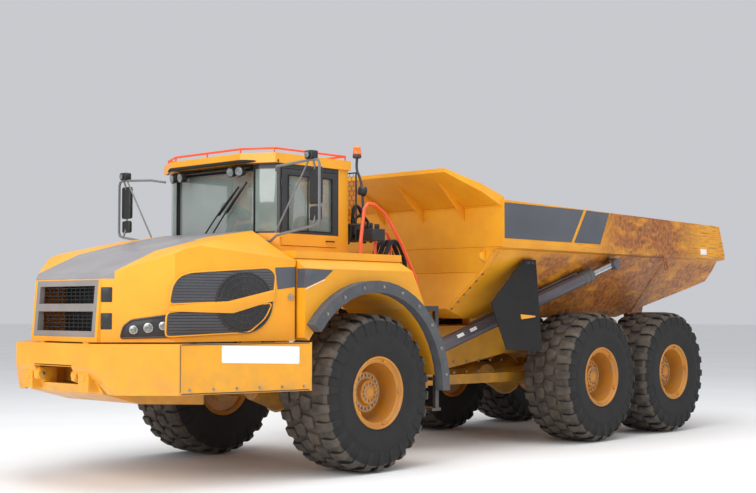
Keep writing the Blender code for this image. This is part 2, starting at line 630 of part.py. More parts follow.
def rear_frame():
    nose = box((HITCH - 0.60, -0.13, CLEVIS_Z[0][1] + PIN_GAP), (HITCH + 0.10, 0.13, CLEVIS_Z[1][0] - PIN_GAP))
    head = slab(
        [(HITCH - 0.42, 0.80), (HITCH - 0.42, REAR_TOP), (HITCH - 2.45, REAR_TOP), (HITCH - 2.45, REAR_LOW),
         (HITCH - 0.80, 0.98), (HITCH - 0.80, 0.80)], "Y", -RAIL_OUT, RAIL_OUT,
    )
    hollow = box((HITCH - 2.30, -0.35, 0.5), (HITCH - 0.70, 0.35, 2))
    rails = box((BED_PIVOT.x - 0.22, -RAIL_OUT, REAR_LOW), (HITCH - 2.2, RAIL_OUT, REAR_TOP))
    bay = box((BED_PIVOT.x - 1, -0.38, 0.5), (HITCH - 2.5, 0.38, 2))
    rails = cut(rails, bay)
    cross = [bar((x, -0.45, 1.42), (x, 0.45, 1.42), 0.10, 12) for x in (BED_PIVOT.x, (AXLE_2 + AXLE_3) / 2)]
    bosses = [bar((BED_PIVOT.x, side * 0.5, BED_PIVOT.z), (BED_PIVOT.x, side * (RAIL_OUT + 0.05), BED_PIVOT.z), 0.08, 12)
              for side in (-1, 1)]
    middle = (AXLE_2 + AXLE_3) / 2
    trunnions = [bar((middle, side * 0.5, 1.25), (middle, side * (BEAM_IN - PIN_GAP), 1.25), 0.09, 12) for side in (-1, 1)]
    hangers = [slab([(middle - 0.3, REAR_LOW + 0.1), (middle + 0.3, REAR_LOW + 0.1), (middle + 0.12, 1.12),
                     (middle - 0.12, 1.12)], "Y", low, low + 0.17) for low in (-RAIL_OUT, RAIL_OUT - 0.17)]
    pads = [box((x - 0.15, side * 0.40, REAR_TOP - 0.02), (x + 0.15, side * 0.53, BED_FLOOR_BOTTOM - GAP))
            for x in (BED_FRONT - 0.9, AXLE_2) for side in (-1, 1)]
    feet = []
    for side in (-1, 1):
        inner, outer = sorted((side * 0.50, side * (HOIST_FOOT.y - HOIST_BALL - PIN_GAP)))
        feet.append(box((HOIST_FOOT.x - 0.14, inner, HOIST_FOOT.z - 0.12), (HOIST_FOOT.x + 0.08, outer, HOIST_FOOT.z + 0.10)))
    forks = []
    for side in (-1, 1):
        for level in (-1, 1):
            start = STEER_EYE.z + level * EAR_SPREAD
            forks.append(boxed((STEER_EYE.x - 0.10, side * STEER_EYE.y, start + level * EARS / 2), (0.34, 0.16, EARS)))
    shape = join(cut(head, hollow), nose, rails, *cross, *bosses, *hangers, *trunnions, *pads, *feet, *forks)
    return keep(shape, "rear_frame", YELLOW)


BEAM_IN, BEAM_OUT = 0.64, 0.80


def bogie_beam(side):
    seat_z = TYRE_RADIUS + 0.15 + GAP
    low, high = sorted((side * BEAM_IN, side * BEAM_OUT))
    middle = (AXLE_2 + AXLE_3) / 2
    outline = [
        (AXLE_3 - 0.14, seat_z), (AXLE_3 + 0.14, seat_z), (middle - 0.2, seat_z + 0.03), (middle + 0.2, seat_z + 0.03),
        (AXLE_2 - 0.14, seat_z), (AXLE_2 + 0.14, seat_z), (AXLE_2 + 0.14, seat_z + 0.10),
        (middle + 0.2, seat_z + 0.34), (middle - 0.2, seat_z + 0.34), (AXLE_3 - 0.14, seat_z + 0.10),
    ]
    keep(slab(outline, "Y", low, high), f"bogie_beam_{'left' if side > 0 else 'right'}", YELLOW)


def rear_axles():
    """Each rear axle is carried by a drawbar frame that runs forward to the rear frame."""
    reach = HITCH - 0.80 - GAP
    arms = [slab([(AXLE_2 + 0.03, y - 0.08), (AXLE_2 + 0.03, y + 0.08), (reach - 0.08, y * 0.62 + 0.07),
                  (reach - 0.08, y * 0.62 - 0.07)],
                 "Z", TYRE_RADIUS - 0.07, TYRE_RADIUS + 0.06) for y in (-0.66, 0.66)]
    bridge = box((reach - 0.2, -0.52, TYRE_RADIUS - 0.05), (reach, 0.52, TYRE_RADIUS + 0.08))
    keep(axle(AXLE_2, (*arms, bridge)), "axle_middle", YELLOW)
    keep(axle(AXLE_3), "axle_rear", YELLOW)


def dump_body():
    """The load box: a side outline crossed with a V-bottomed section, hollowed by the same pair inset."""
    top, floor, wall = BED_RAIL_TOP, BED_FLOOR_BOTTOM, BED_WALL
    rise = AXLE_3 + 0.25

    def form(inset, open_out):
        side = slab(
            [(BED_FRONT - inset, top + open_out), (BED_FRONT - inset, 2.30), (BED_FRONT + 0.24 - inset, floor + 0.13 + inset),
             (BED_FRONT - 0.24, floor + inset), (rise, floor + inset), (TAIL + 0.42, floor + 0.44 + inset),
             (TAIL - open_out, floor + 0.57 + inset * 0.9 + open_out * 0.27), (TAIL - open_out, floor + 0.74 + inset),
             (TAIL + 0.26 - open_out * 1.5, top - 0.08 + open_out)],
            "Y", -2, 2,
        )
        width = BED_HALF_WIDTH
        section = slab(
            evenly([(width - inset, top + 1), (width - inset, 2.66 + inset * 0.4), (width - 0.02 - inset, 2.60 + inset * 0.4),
                    (width - 0.16 - inset, 2.58 + inset * 0.4), (0.84 - inset * 0.5, floor + inset)]),
            "X", TAIL - 1, BED_FRONT + 1,
        )
        return meet(side, section)
    bed = cut(form(0, 0), form(wall, 0.4))
    lip = slab([(BED_FRONT - 0.05, top - 0.06), (BED_FRONT + 0.02, top - 0.06), (BED_FRONT + 0.70, 3.52),
                (BED_FRONT + 0.70, 3.57), (BED_FRONT - 0.05, top + 0.04)], "Y", -2, 2)
    lip = meet(lip, slab(even([(BED_FRONT + 0.70, 1.30), (BED_FRONT + 0.28, BED_HALF_WIDTH - 0.12),
                               (BED_FRONT - 0.10, BED_HALF_WIDTH - 0.01)]), "Z", 3, 4))
    lugs = []
    for side in (-1, 1):
        low, high = sorted((side * (RAIL_OUT + 0.05 + PIN_GAP), side * (RAIL_OUT + 0.13)))
        lug = slab([(BED_PIVOT.x + 0.10, BED_PIVOT.z - 0.04), (BED_PIVOT.x + 0.30, 2.02), (BED_PIVOT.x - 0.30, 2.02),
                    (BED_PIVOT.x - 0.10, BED_PIVOT.z - 0.04), (BED_PIVOT.x, BED_PIVOT.z - 0.11)], "Y", low, high)
        lugs.append(lug)
    brackets = []
    for side in (-1, 1):
        low, high = sorted((side * (BED_HALF_WIDTH - 0.34), side * (HOIST_EYE.y - EYE_BALL - PIN_GAP)))
        brackets.append(slab([(HOIST_EYE.x - 0.22, 2.55), (HOIST_EYE.x + 0.04, 2.55), (HOIST_EYE.x + 0.04, HOIST_EYE.z - 0.08),
                              (HOIST_EYE.x - 0.10, HOIST_EYE.z - 0.08)], "Y", low, high))
    inside = form(wall, 0.4)
    extra = [cut(piece, copied(inside)) for piece in (*lugs, *brackets)]
    bpy.data.objects.remove(inside)
    return keep(join(bed, *extra, lip), "dump_body", YELLOW)


FLAP_Y = BED_HALF_WIDTH - 0.21


def mudflap(side):
    """A rubber flap that hangs beside the hoist cylinder, ahead of the middle wheel."""
    x = BED_FRONT - 0.70
    outline = [(x, 2.47), (x - 0.26, 2.47), (x - 0.38, 1.27), (x + 0.38, 1.30), (x + 0.70, 1.90), (x + 0.66, 1.94)]
    flap = slab(outline, "Y", FLAP_Y, FLAP_Y + 0.014)
    hanger = box((x - 0.20, FLAP_Y - 0.12, 2.30), (x - 0.06, FLAP_Y + 0.01, 2.45))
    clear = 2 * GAP
    low = BED_FLOOR_BOTTOM
    hanger = cut(hanger, slab([(0.84 + clear, low), (BED_HALF_WIDTH - 0.16 + clear, 2.58), (1.4, 3), (0, 3), (0, low)],
                              "X", x - 1, x + 1))
    flap = join(flap, hanger)
    if side < 0:
        flap = turn_over(flap)
    return keep(flap, f"mudflap_{'left' if side > 0 else 'right'}", SOFT_RUBBER)


def flat_eye(centre, radius):
    """An upright eye that fits between two flat ears."""
    half = Vector((0, 0, EAR_SPREAD - PIN_GAP))
    return bar(centre - half, centre + half, radius, 12)


def ram(name, side, foot, eye, radii, cover, dip, end_form, end_radii):
    """A hydraulic cylinder between two ends: the barrel with its foot, and the rod inside it."""
    foot, eye = (Vector((p.x, side * p.y, p.z)) for p in (foot, eye))
    run = (eye - foot).normalized()
    mouth = foot + run * cover
    barrel_radius, rod_radius = radii
    barrel = bar(foot, mouth, barrel_radius, 14)
    knuckle = end_form(foot, end_radii[0])
    bore = bar(foot + run * 0.06, mouth + run * 0.5, rod_radius + GAP * 2.5, 14)
    barrel = join(barrel, knuckle)
    barrel = cut(barrel, bore)
    rod = bar(foot + run * dip, eye, rod_radius, 14)
    head = end_form(eye, end_radii[1])
    rod = join(rod, head)
    label = "left" if side > 0 else "right"
    barrel = keep(barrel, f"{name}_barrel_{label}", CYLINDER)
    rod = keep(rod, f"{name}_rod_{label}", CHROME)
    pivot(f"{name}_foot_{label}", foot, (barrel,))
    pivot(f"{name}_slide_{label}", eye, (rod,))


def rams():
    for side in (1, -1):
        ram("hoist", side, HOIST_FOOT, HOIST_EYE, (0.095, 0.055), 2.80, 0.24, ball, (HOIST_BALL, EYE_BALL))
        ram("steering", side, STEER_FOOT, STEER_EYE, (0.055, 0.030), 0.82, 0.42, flat_eye, (0.055, 0.055))


front_unit()
rear = [rear_frame()]
for side in (1, -1):
    bogie_beam(side)
rear_axles()
bed = [dump_body(), mudflap(1), mudflap(-1)]
rams()
pivot("steering_pivot", (HITCH, 0, 1.14), rear)
pivot("bed_pivot", BED_PIVOT, bed)
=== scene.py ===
# %% [markdown]
# # A six-wheeled articulated dump truck
# The solid frame of the truck is loaded first: every rigid part is already there, in metres, with
# +X towards the nose and the tyres standing on z = 0. The cells below give each part its finish and
# replace the plain ones, such as tyres and rims, with modelled pieces that ride on the same bodies.

# %% Load the frame
import math

import bmesh
import bpy
import numpy as np
from mathutils import Matrix, Vector


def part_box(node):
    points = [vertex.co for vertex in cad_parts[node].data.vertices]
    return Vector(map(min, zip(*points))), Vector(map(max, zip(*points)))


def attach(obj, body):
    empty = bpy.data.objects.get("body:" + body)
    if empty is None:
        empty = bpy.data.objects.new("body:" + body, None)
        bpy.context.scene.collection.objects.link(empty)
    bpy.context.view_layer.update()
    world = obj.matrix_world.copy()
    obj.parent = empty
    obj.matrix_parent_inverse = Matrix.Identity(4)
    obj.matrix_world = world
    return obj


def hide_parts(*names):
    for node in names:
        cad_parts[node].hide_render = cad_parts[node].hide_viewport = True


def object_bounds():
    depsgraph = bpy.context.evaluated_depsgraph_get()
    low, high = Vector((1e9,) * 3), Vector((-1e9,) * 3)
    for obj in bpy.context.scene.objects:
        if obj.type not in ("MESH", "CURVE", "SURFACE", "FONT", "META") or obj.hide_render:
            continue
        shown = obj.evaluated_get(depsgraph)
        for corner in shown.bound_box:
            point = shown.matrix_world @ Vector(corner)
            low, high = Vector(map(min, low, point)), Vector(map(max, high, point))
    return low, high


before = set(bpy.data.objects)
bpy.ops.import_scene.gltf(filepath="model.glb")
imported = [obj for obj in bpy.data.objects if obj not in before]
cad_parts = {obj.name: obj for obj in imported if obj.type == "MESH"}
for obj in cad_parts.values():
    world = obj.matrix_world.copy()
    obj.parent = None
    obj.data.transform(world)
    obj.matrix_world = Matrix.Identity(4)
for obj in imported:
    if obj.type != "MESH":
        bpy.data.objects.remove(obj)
CAD_LOW, CAD_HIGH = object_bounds()
print("frame box", [round(v, 3) for v in (*CAD_LOW, *CAD_HIGH)])

# %% [markdown]
# ## Stations
# A truck is measured from its wheels, so the stations are the middles of the tyres. Pieces are then
# placed at a distance from an axle, the way a drawing gives them.

# %% Find the axles and the tyre size


def middle(node):
    low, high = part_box(node)
    return (low + high) / 2


AXLE_1, AXLE_2, AXLE_3 = (middle(f"tyre_{place}_left").x for place in ("front", "middle", "rear"))
TRACK = middle("tyre_front_left").y
TYRE_RADIUS = middle("tyre_front_left").z
NOSE = CAD_HIGH.x
DECK_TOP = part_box("deck")[1].z
BED_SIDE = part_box("dump_body")[1].y
BED_FRONT = AXLE_1 - 2.30


def at(ahead, *rest):
    """A point so many metres ahead of the front axle, with its other coordinates as given."""
    return (AXLE_1 + ahead, *rest)


print("axles", round(AXLE_1, 3), round(AXLE_2, 3), round(AXLE_3, 3), "bed side", round(BED_SIDE, 3))

# %% [markdown]
# ## Camera, floor and lights
# The truck is seen from standing eye height, ahead of its left front corner, with a short telephoto
# lens. A sky-sized soft light overhead and a broad one beside the camera give the even shade of an
# overcast yard, and the pale floor throws some of it back under the chassis.

# %% Camera
camera = bpy.data.objects.new("camera", bpy.data.cameras.new("camera"))
bpy.context.scene.collection.objects.link(camera)
camera.location = at(10.387, 11.322, 1.831)
camera.rotation_mode = "QUATERNION"
camera.rotation_quaternion = Vector((-0.7315, -0.6801, 0.0489)).to_track_quat("-Z", "Y")
camera.data.sensor_width = 36
camera.data.lens = 60.23
camera.data.clip_end = 400
bpy.context.scene.camera = camera
bpy.context.scene.view_settings.view_transform = "Standard"
print("camera", [round(v, 2) for v in camera.location])

# %% Soft lights


def soft_light(name, place, target, size, power):
    """A square area light that looks at a target."""
    lamp = bpy.data.objects.new(name, bpy.data.lights.new(name, "AREA"))
    bpy.context.scene.collection.objects.link(lamp)
    lamp.location = place
    lamp.rotation_mode = "QUATERNION"
    lamp.rotation_quaternion = (Vector(target) - Vector(place)).to_track_quat("-Z", "Y")
    lamp.data.size = size
    lamp.data.energy = power
    return lamp


soft_light("overhead", (1, 2, 13), (0, 0, 1), 14, 1450)
soft_light("front_key", (16, 3, 8), (2, 0, 1.5), 9, 1250)
soft_light("side_fill", (-3, 16, 8), (-1, 0, 1.5), 9, 330)
world = bpy.data.worlds.new("studio")
bpy.context.scene.world = world
world.use_nodes = True
world.node_tree.nodes["Background"].inputs["Color"].default_value = (0.93, 0.95, 1, 1)
world.node_tree.nodes["Background"].inputs["Strength"].default_value = 0.62

# %% [markdown]
# ## Finishes
# A work truck is sprayed steel, rubber and glass that has stood in dust. Each finish below starts
# from the real one's typical roughness and index, and gets the two or three things that give it
# away: a slow drift in tone, dust that gathers low down, and a fine bump.

# %% Helpers for materials


def linear(hex_colour):
    """An sRGB hex colour as linear RGBA."""
    channels = [int(hex_colour[i:i + 2], 16) / 255 for i in (1, 3, 5)]
    return (*[c / 12.92 if c <= 0.04045 else ((c + 0.055) / 1.055) ** 2.4 for c in channels], 1)


def add_node(material, kind, inputs=None, out=0, **settings):
    """One node with its settings and links, given as its output: a socket is linked, a hex colour made linear."""
    tree = material.node_tree
    made = tree.nodes.new("ShaderNode" + kind)
    for name, value in settings.items():
        setattr(made, name, value)
    for name, value in (inputs or {}).items():
        if isinstance(value, bpy.types.NodeSocket):
            tree.links.new(value, made.inputs[name])
        else:
            made.inputs[name].default_value = linear(value) if isinstance(value, str) else value
    return made.outputs[out]


# What a Math or a Mix node is set to do.
TIMES, PLUS, MINUS, HIGHER = ({"operation": kind} for kind in ("MULTIPLY", "ADD", "SUBTRACT", "MAXIMUM"))
COLOURS = {"data_type": "RGBA"}


def start_finish(name, roughness, metallic=0.0, ior=1.5):
    """A material with these constants on its shader."""
    material = bpy.data.materials.new(name)
    material.use_nodes = True
    shader = material.node_tree.nodes["Principled BSDF"]
    shader.inputs["Roughness"].default_value = roughness
    shader.inputs["Metallic"].default_value = metallic
    shader.inputs["IOR"].default_value = ior
    return material, shader


def grain(material, size, low=0.35, high=0.65, stretch=(1, 1, 1), detail=4.0):
    """A mask from 0 to 1 out of noise whose lumps are about size metres, times stretch."""
    spot = add_node(material, "TexCoord", out="Object")
    scale = [1 / (size * s) for s in stretch]
    placed = add_node(material, "Mapping", {"Vector": spot, "Scale": scale})
    noise = add_node(material, "TexNoise", {"Vector": placed, "Scale": 1.0, "Detail": detail}, "Fac")
    return add_node(material, "MapRange", {"Value": noise, "From Min": low, "From Max": high})


def height(material, bottom, top, axis="Z"):
    """A mask that is 1 below bottom and 0 above top, along an axis of the truck."""
    spot = add_node(material, "TexCoord", out="Object")
    split = add_node(material, "SeparateXYZ", {"Vector": spot}, axis)
    return add_node(material, "MapRange", {
        "Value": split, "From Min": bottom, "From Max": top, "To Min": 1.0, "To Max": 0.0})


def finish_with(material, shader, colour, bump=None, depth=0.001, strength=0.5):
    """Links the colour, and a bump whose full height is depth metres."""
    material.node_tree.links.new(colour, shader.inputs["Base Color"])
    if bump is not None:
        raised = add_node(material, "Bump", {"Height": bump, "Distance": depth, "Strength": strength})
        material.node_tree.links.new(raised, shader.inputs["Normal"])
    return material


# %% Sprayed enamel over steel


DUST = "#8F7A5C"


def enamel(name, main, shade, roughness, dust=DUST, dust_top=1.7, dust_share=0.55):
    """Two-pack enamel: semi-gloss, its tone drifting over half a metre, dusty towards the ground."""
    material, shader = start_finish(name, roughness)
    shader.inputs["Coat Weight"].default_value = 0.12
    tone = add_node(material, "Mix", {0: grain(material, 0.5, 0.30, 0.75), 6: main, 7: shade}, 2, **COLOURS)
    low_dust = add_node(material, "Math", {0: height(material, 0.5, dust_top), 1: dust_share}, **TIMES)
    patchy = add_node(material, "Math", {0: low_dust, 1: grain(material, 0.16, 0.30, 0.70)}, **TIMES)
    speckle = add_node(material, "Math", {0: grain(material, 0.02, 0.56, 0.75), 1: 0.16}, **TIMES)
    cover = add_node(material, "Math", {0: patchy, 1: speckle}, **HIGHER)
    # Orange peel has lumps of about 3 mm, too fine to show from ten metres, so it is drawn at 12 mm.
    return finish_with(material, shader, add_node(material, "Mix", {0: cover, 6: tone, 7: dust}, 2, **COLOURS),
                       grain(material, 0.012), 0.0004, 0.25)


YELLOW = enamel("yellow_enamel", "#F0A81E", "#E79A14", 0.42)
GREY = enamel("grey_enamel", "#8E8B8C", "#7F7C7E", 0.5, dust_share=0.3)
GRILLE_GREY = enamel("grille_plastic_grey", "#8D8784", "#7C7673", 0.55, dust_share=0.4)
RIM_PAINT = enamel("rim_enamel", "#CF8A22", "#BF7716", 0.5, dust_top=2.0, dust_share=0.45)
CHASSIS = enamel("chassis_enamel", "#E0A02C", "#C98A20", 0.5, dust="#7A674D", dust_share=0.75)
ORANGE = enamel("orange_powder_coat", "#F05A28", "#E24E1E", 0.4, dust_share=0.15)
DARK = enamel("charcoal_enamel", "#35363A", "#2A2B2E", 0.5, dust_share=0.4)
BLACK = enamel("black_moulded_plastic", "#1E1F21", "#17181A", 0.55, dust_share=0.35)
CYLINDER_PAINT = enamel("cylinder_enamel", "#57535A", "#48444B", 0.4, dust_share=0.3)
CAST = enamel("cast_iron_block", "#5A5B5C", "#4B4C4D", 0.65)
DECAL = enamel("charcoal_vinyl", "#52565D", "#4A4E55", 0.35, dust_share=0.1)
WHITE = enamel("white_vinyl", "#F2F3F2", "#E8EAE9", 0.35, dust="#C9C2B4", dust_share=0.2)
VENT_GREY = enamel("vent_moulded_plastic", "#4C4D52", "#424348", 0.5, dust_share=0.3)
print("enamels", len(bpy.data.materials))

# %% Worn enamel of the load box


def worn_enamel():
    """The load box is scraped by rock: rust shows low on the flanks and along the rear half of the rail."""
    material, shader = start_finish("load_box_worn_enamel", 0.45)
    tone = add_node(material, "Mix", {0: grain(material, 0.5, 0.30, 0.75), 6: "#F0A81E", 7: "#E3930F"}, 2, **COLOURS)
    rear = height(material, -3.4, -0.4, "X")
    # Scratches run along the box, up to 300 mm long and 10 mm wide, so the noise is drawn out along X.
    scratches = grain(material, 0.035, 0.52, 0.60, (9, 1, 0.5), 6)
    share = add_node(material, "Math", {0: rear, 1: 0.7}, **TIMES)
    share = add_node(material, "Math", {0: share, 1: 0.04}, **PLUS)
    scrapes = add_node(material, "Math", {0: scratches, 1: share}, **TIMES)
    # Stain is heavy on the middle of the rail and light on the rest of its rear half.
    ahead_of_tail = add_node(material, "Math", {0: 1.0, 1: height(material, -4.9, -4.0, "X")}, **MINUS)
    mid_rail = add_node(material, "Math", {0: height(material, -2.5, -1.7, "X"), 1: ahead_of_tail}, **TIMES)
    heavy = add_node(material, "Math", {0: mid_rail, 1: 0.90}, **TIMES)
    light = add_node(material, "Math", {0: rear, 1: 0.12}, **TIMES)
    share = add_node(material, "Math", {0: heavy, 1: light}, **PLUS)
    stain = grain(material, 0.22, 0.30, 0.50, (1.8, 1, 0.7), 8)
    stain = add_node(material, "Math", {0: stain, 1: share}, **TIMES)
    flank = add_node(material, "Math", {0: height(material, 2.50, 2.64), 1: height(material, -0.9, -0.2, "X")}, **TIMES)
    blots = grain(material, 0.24, 0.26, 0.50, (2, 1, 0.8), 9)
    flank = add_node(material, "Math", {0: flank, 1: blots}, **TIMES)
    flank = add_node(material, "Math", {0: flank, 1: 0.95}, **TIMES)
    rust = add_node(material, "Math", {0: scrapes, 1: stain}, **HIGHER)
    rust = add_node(material, "Math", {0: rust, 1: flank}, **HIGHER)
    brown = grain(material, 0.06, 0.36, 0.62, detail=9)
    brown = add_node(material, "Mix", {0: brown, 6: "#B8702E", 7: "#7E4823"}, 2, **COLOURS)
    colour = add_node(material, "Mix", {0: rust, 6: tone, 7: brown}, 2, **COLOURS)
    dust = add_node(material, "Math", {0: grain(material, 0.09, 0.52, 0.74), 1: 0.16}, **TIMES)
    return finish_with(material, shader, add_node(material, "Mix", {0: dust, 6: colour, 7: "#B99A5E"}, 2, **COLOURS),
                       rust, 0.0012, 0.35)


BOX_ENAMEL = worn_enamel()
print(BOX_ENAMEL.name)

# %% Two-tone hood and cab


def two_tone(name, roughness, where, under, over):
    """Enamel in two tones: where makes the mask of the tone over; a tone is a colour, its shade and its drift."""
    material, shader = start_finish(name, roughness)
    tones = [add_node(material, "Mix", {0: grain(material, drift, 0.30, 0.75), 6: main, 7: shade}, 2, **COLOURS)
             for main, shade, drift in (under, over)]
    colour = add_node(material, "Mix", {0: where(material), 6: tones[0], 7: tones[1]}, 2, **COLOURS)
    dust = add_node(material, "Math", {0: grain(material, 0.02, 0.56, 0.75), 1: 0.16}, **TIMES)
    return finish_with(material, shader, add_node(material, "Mix", {0: dust, 6: colour, 7: DUST}, 2, **COLOURS),
                       grain(material, 0.012), 0.0004, 0.25)


def hood_lid(material):
    """The hood's lid is masked off and sprayed grey across the grille's full width, so that it doesn't glare."""
    across, not_across = height(material, 0.699, 0.701, "Y"), height(material, -0.701, -0.699, "Y")
    across = add_node(material, "Math", {0: across, 1: not_across}, **MINUS)
    above = add_node(material, "Math", {0: 1.0, 1: height(material, 2.129, 2.131)}, **MINUS)
    forward = add_node(material, "Math", {0: 1.0, 1: height(material, AXLE_1 + 1.80, AXLE_1 + 1.81, "X")}, **MINUS)
    lid = add_node(material, "Math", {0: across, 1: above}, **TIMES)
    return add_node(material, "Math", {0: lid, 1: forward}, **TIMES)


def cab_body(material):
    """The cab is yellow below the windows and on its rear pillars, and charcoal round the glass."""
    behind = height(material, AXLE_1 - 0.071, AXLE_1 - 0.069, "X")
    return add_node(material, "Math", {0: height(material, 2.669, 2.671), 1: behind}, **HIGHER)


SUN, SLATE = ("#F0A81E", "#E79A14", 0.5), ("#8E8B8C", "#7F7C7E", 0.5)
HOOD_ENAMEL = two_tone("hood_two_tone_enamel", 0.44, hood_lid, SUN, SLATE)
CAB_ENAMEL = two_tone("cab_two_tone_enamel", 0.42, cab_body, ("#2F3134", "#27292C", 0.3), SUN)
print(HOOD_ENAMEL.name, CAB_ENAMEL.name)

# %% Rubber, glass, chrome and cloth


def rubber(name, main, dusty, share, roughness=0.85):
    """Vulcanised rubber: matt, with grey bloom and dust in its low spots."""
    material, shader = start_finish(name, roughness, ior=1.52)
    cover = add_node(material, "Math", {0: grain(material, 0.14, 0.30, 0.70, detail=6), 1: share}, **TIMES)
    return finish_with(material, shader, add_node(material, "Mix", {0: cover, 6: main, 7: dusty}, 2, **COLOURS),
                       grain(material, 0.008), 0.0008, 0.4)


SIDEWALL = rubber("tyre_sidewall_rubber", "#1C1C1E", "#35322F", 0.3)
TREAD = rubber("tyre_tread_rubber", "#3C3835", "#6E6254", 0.7)
FLARE = rubber("moulded_flare_rubber", "#47494F", "#6A6A68", 0.35, 0.7)
FLAP = rubber("flap_rubber", "#131315", "#262423", 0.3)

GLASS, pane = start_finish("tinted_safety_glass", 0.04, ior=1.52)
pane.inputs["Base Color"].default_value = linear("#93A39C")
pane.inputs["Alpha"].default_value = 0.34
GLASS_SMEAR = grain(GLASS, 0.35, 0.3, 0.7)
finish_with(GLASS, pane, add_node(GLASS, "Mix", {0: GLASS_SMEAR, 6: "#8C9C96", 7: "#A9B6AF"}, 2, **COLOURS))

CHROME, plating = start_finish("hard_chrome_rod", 0.16, 1.0)
bright = add_node(CHROME, "Mix", {0: grain(CHROME, 0.05), 6: "#C9CBCE", 7: "#B4B6B9"}, 2, **COLOURS)
finish_with(CHROME, plating, bright, grain(CHROME, 0.006, stretch=(6, 1, 1)), 0.0002, 0.3)

CLOTH, weave = start_finish("seat_woven_polyester", 0.9)
weave.inputs["Sheen Weight"].default_value = 0.4
# Threads are 1 mm apart; they are drawn at 4 mm so that they show.
warp, weft = grain(CLOTH, 0.004, stretch=(1, 4, 1)), grain(CLOTH, 0.004, stretch=(4, 1, 1))
threads = add_node(CLOTH, "Math", {0: warp, 1: weft}, **TIMES)
yarn = add_node(CLOTH, "Mix", {0: threads, 6: "#242528", 7: "#3A3C41"}, 2, **COLOURS)
finish_with(CLOTH, weave, yarn, threads, 0.001, 0.5)

AMBER, lens = start_finish("amber_polycarbonate", 0.12, ior=1.58)
lens.inputs["Coat Weight"].default_value = 0.5
finish_with(AMBER, lens, add_node(AMBER, "Mix", {0: grain(AMBER, 0.02), 6: "#F07A18", 7: "#D95F0C"}, 2, **COLOURS))
LENS, lens = start_finish("clear_lamp_lens", 0.10, ior=1.58)
lens.inputs["Coat Weight"].default_value = 0.6
finish_with(LENS, lens, add_node(LENS, "Mix", {0: grain(LENS, 0.03), 6: "#7E8485", 7: "#5C6163"}, 2, **COLOURS))
MIRROR, silver = start_finish("mirror_glass", 0.03, 1.0)
finish_with(MIRROR, silver, add_node(MIRROR, "Mix", {0: grain(MIRROR, 0.2), 6: "#D4D8DA", 7: "#C4C9CC"}, 2, **COLOURS))
STEEL, bright = start_finish("zinc_plated_steel", 0.4, 1.0)
finish_with(STEEL, bright, add_node(STEEL, "Mix", {0: grain(STEEL, 0.02), 6: "#B9B7B0", 7: "#8F8C86"}, 2, **COLOURS))
print("finishes", len(bpy.data.materials))

# %% Give every solid its finish
FINISH_OF = {
    YELLOW: "front_bumper fender_left fender_right cab_roof deck",
    HOOD_ENAMEL: "hood", CAB_ENAMEL: "cab_shell cab_door",
    GREY: "hood_top", GRILLE_GREY: "grille", BOX_ENAMEL: "dump_body",
    CHASSIS: "front_frame front_axle rear_frame bogie_beam_left bogie_beam_right axle_middle axle_rear",
    FLARE: "flare_left flare_right", FLAP: "mudflap_left mudflap_right",
    DARK: "steering_column mirror_left mirror_right access_steps air_cleaner radiator beacon_post",
    GLASS: "windshield side_window_right rear_window door_glass",
    ORANGE: "handrail_long handrail_short",
    CAST: "engine_block", CLOTH: "seat",
    CYLINDER_PAINT: "hoist_barrel_left hoist_barrel_right steering_barrel_left steering_barrel_right",
    CHROME: "hoist_rod_left hoist_rod_right steering_rod_left steering_rod_right",
    SIDEWALL: " ".join(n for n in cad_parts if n.startswith("tyre_")),
    RIM_PAINT: " ".join(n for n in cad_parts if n.startswith("rim_")),
}
for finish, names in FINISH_OF.items():
    for name in names.split():
        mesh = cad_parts[name].data
        mesh.materials.clear()
        mesh.materials.append(finish)
print("finished", sum(len(n.split()) for n in FINISH_OF.values()), "of", len(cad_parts), "solids")

# %% [markdown]
# ## Modelling helpers
# Pieces are modelled the way one would by hand: add a primitive at its size and place, go into edit
# mode, select faces by where they are, and extrude, inset or bevel them. These helpers only take up
# the steps that every piece repeats.

# %% Helpers for modelling


def clear():
    """Back to object mode, with nothing selected."""
    if bpy.context.object and bpy.context.object.mode != "OBJECT":
        bpy.ops.object.mode_set(mode="OBJECT")
    bpy.ops.object.select_all(action="DESELECT")


def add(kind, **settings):
    """A new primitive, alone in the selection."""
    clear()
    getattr(bpy.ops.mesh, f"primitive_{kind}_add")(**settings)
    return bpy.context.object


def choose(obj):
    clear()
    obj.select_set(True)
    bpy.context.view_layer.objects.active = obj
    return obj


def edit(obj, wanted=lambda face: True):
    """Edit mode with the wanted faces selected; wanted looks at a face of the mesh."""
    choose(obj)
    bpy.ops.object.mode_set(mode="EDIT")
    bpy.ops.mesh.select_mode(type="FACE")
    bpy.ops.mesh.select_all(action="DESELECT")
    shape = bmesh.from_edit_mesh(obj.data)
    for face in shape.faces:
        face.select = bool(wanted(face))
    shape.select_flush_mode()
    bmesh.update_edit_mesh(obj.data)


def place_in_mesh(obj):
    """Puts the object at the origin, unturned, with its place in its mesh."""
    choose(obj)
    bpy.ops.object.transform_apply(location=True, rotation=True, scale=True)
    return obj


def done(obj, name, *finishes, angle=35):
    """Names a finished piece, gives it its finishes, and shades it smooth up to an angle."""
    place_in_mesh(obj)
    obj.name = obj.data.name = name
    for finish in finishes:
        obj.data.materials.append(finish)
    choose(obj)
    bpy.ops.object.shade_smooth_by_angle(angle=math.radians(angle))
    return obj


def soften(obj, width, segments=2, wanted=lambda face: True):
    """Bevels the edges of the wanted faces."""
    edit(obj, wanted)
    bpy.ops.mesh.bevel(offset=width, segments=segments, affect="EDGES")
    bpy.ops.object.mode_set(mode="OBJECT")
    return obj


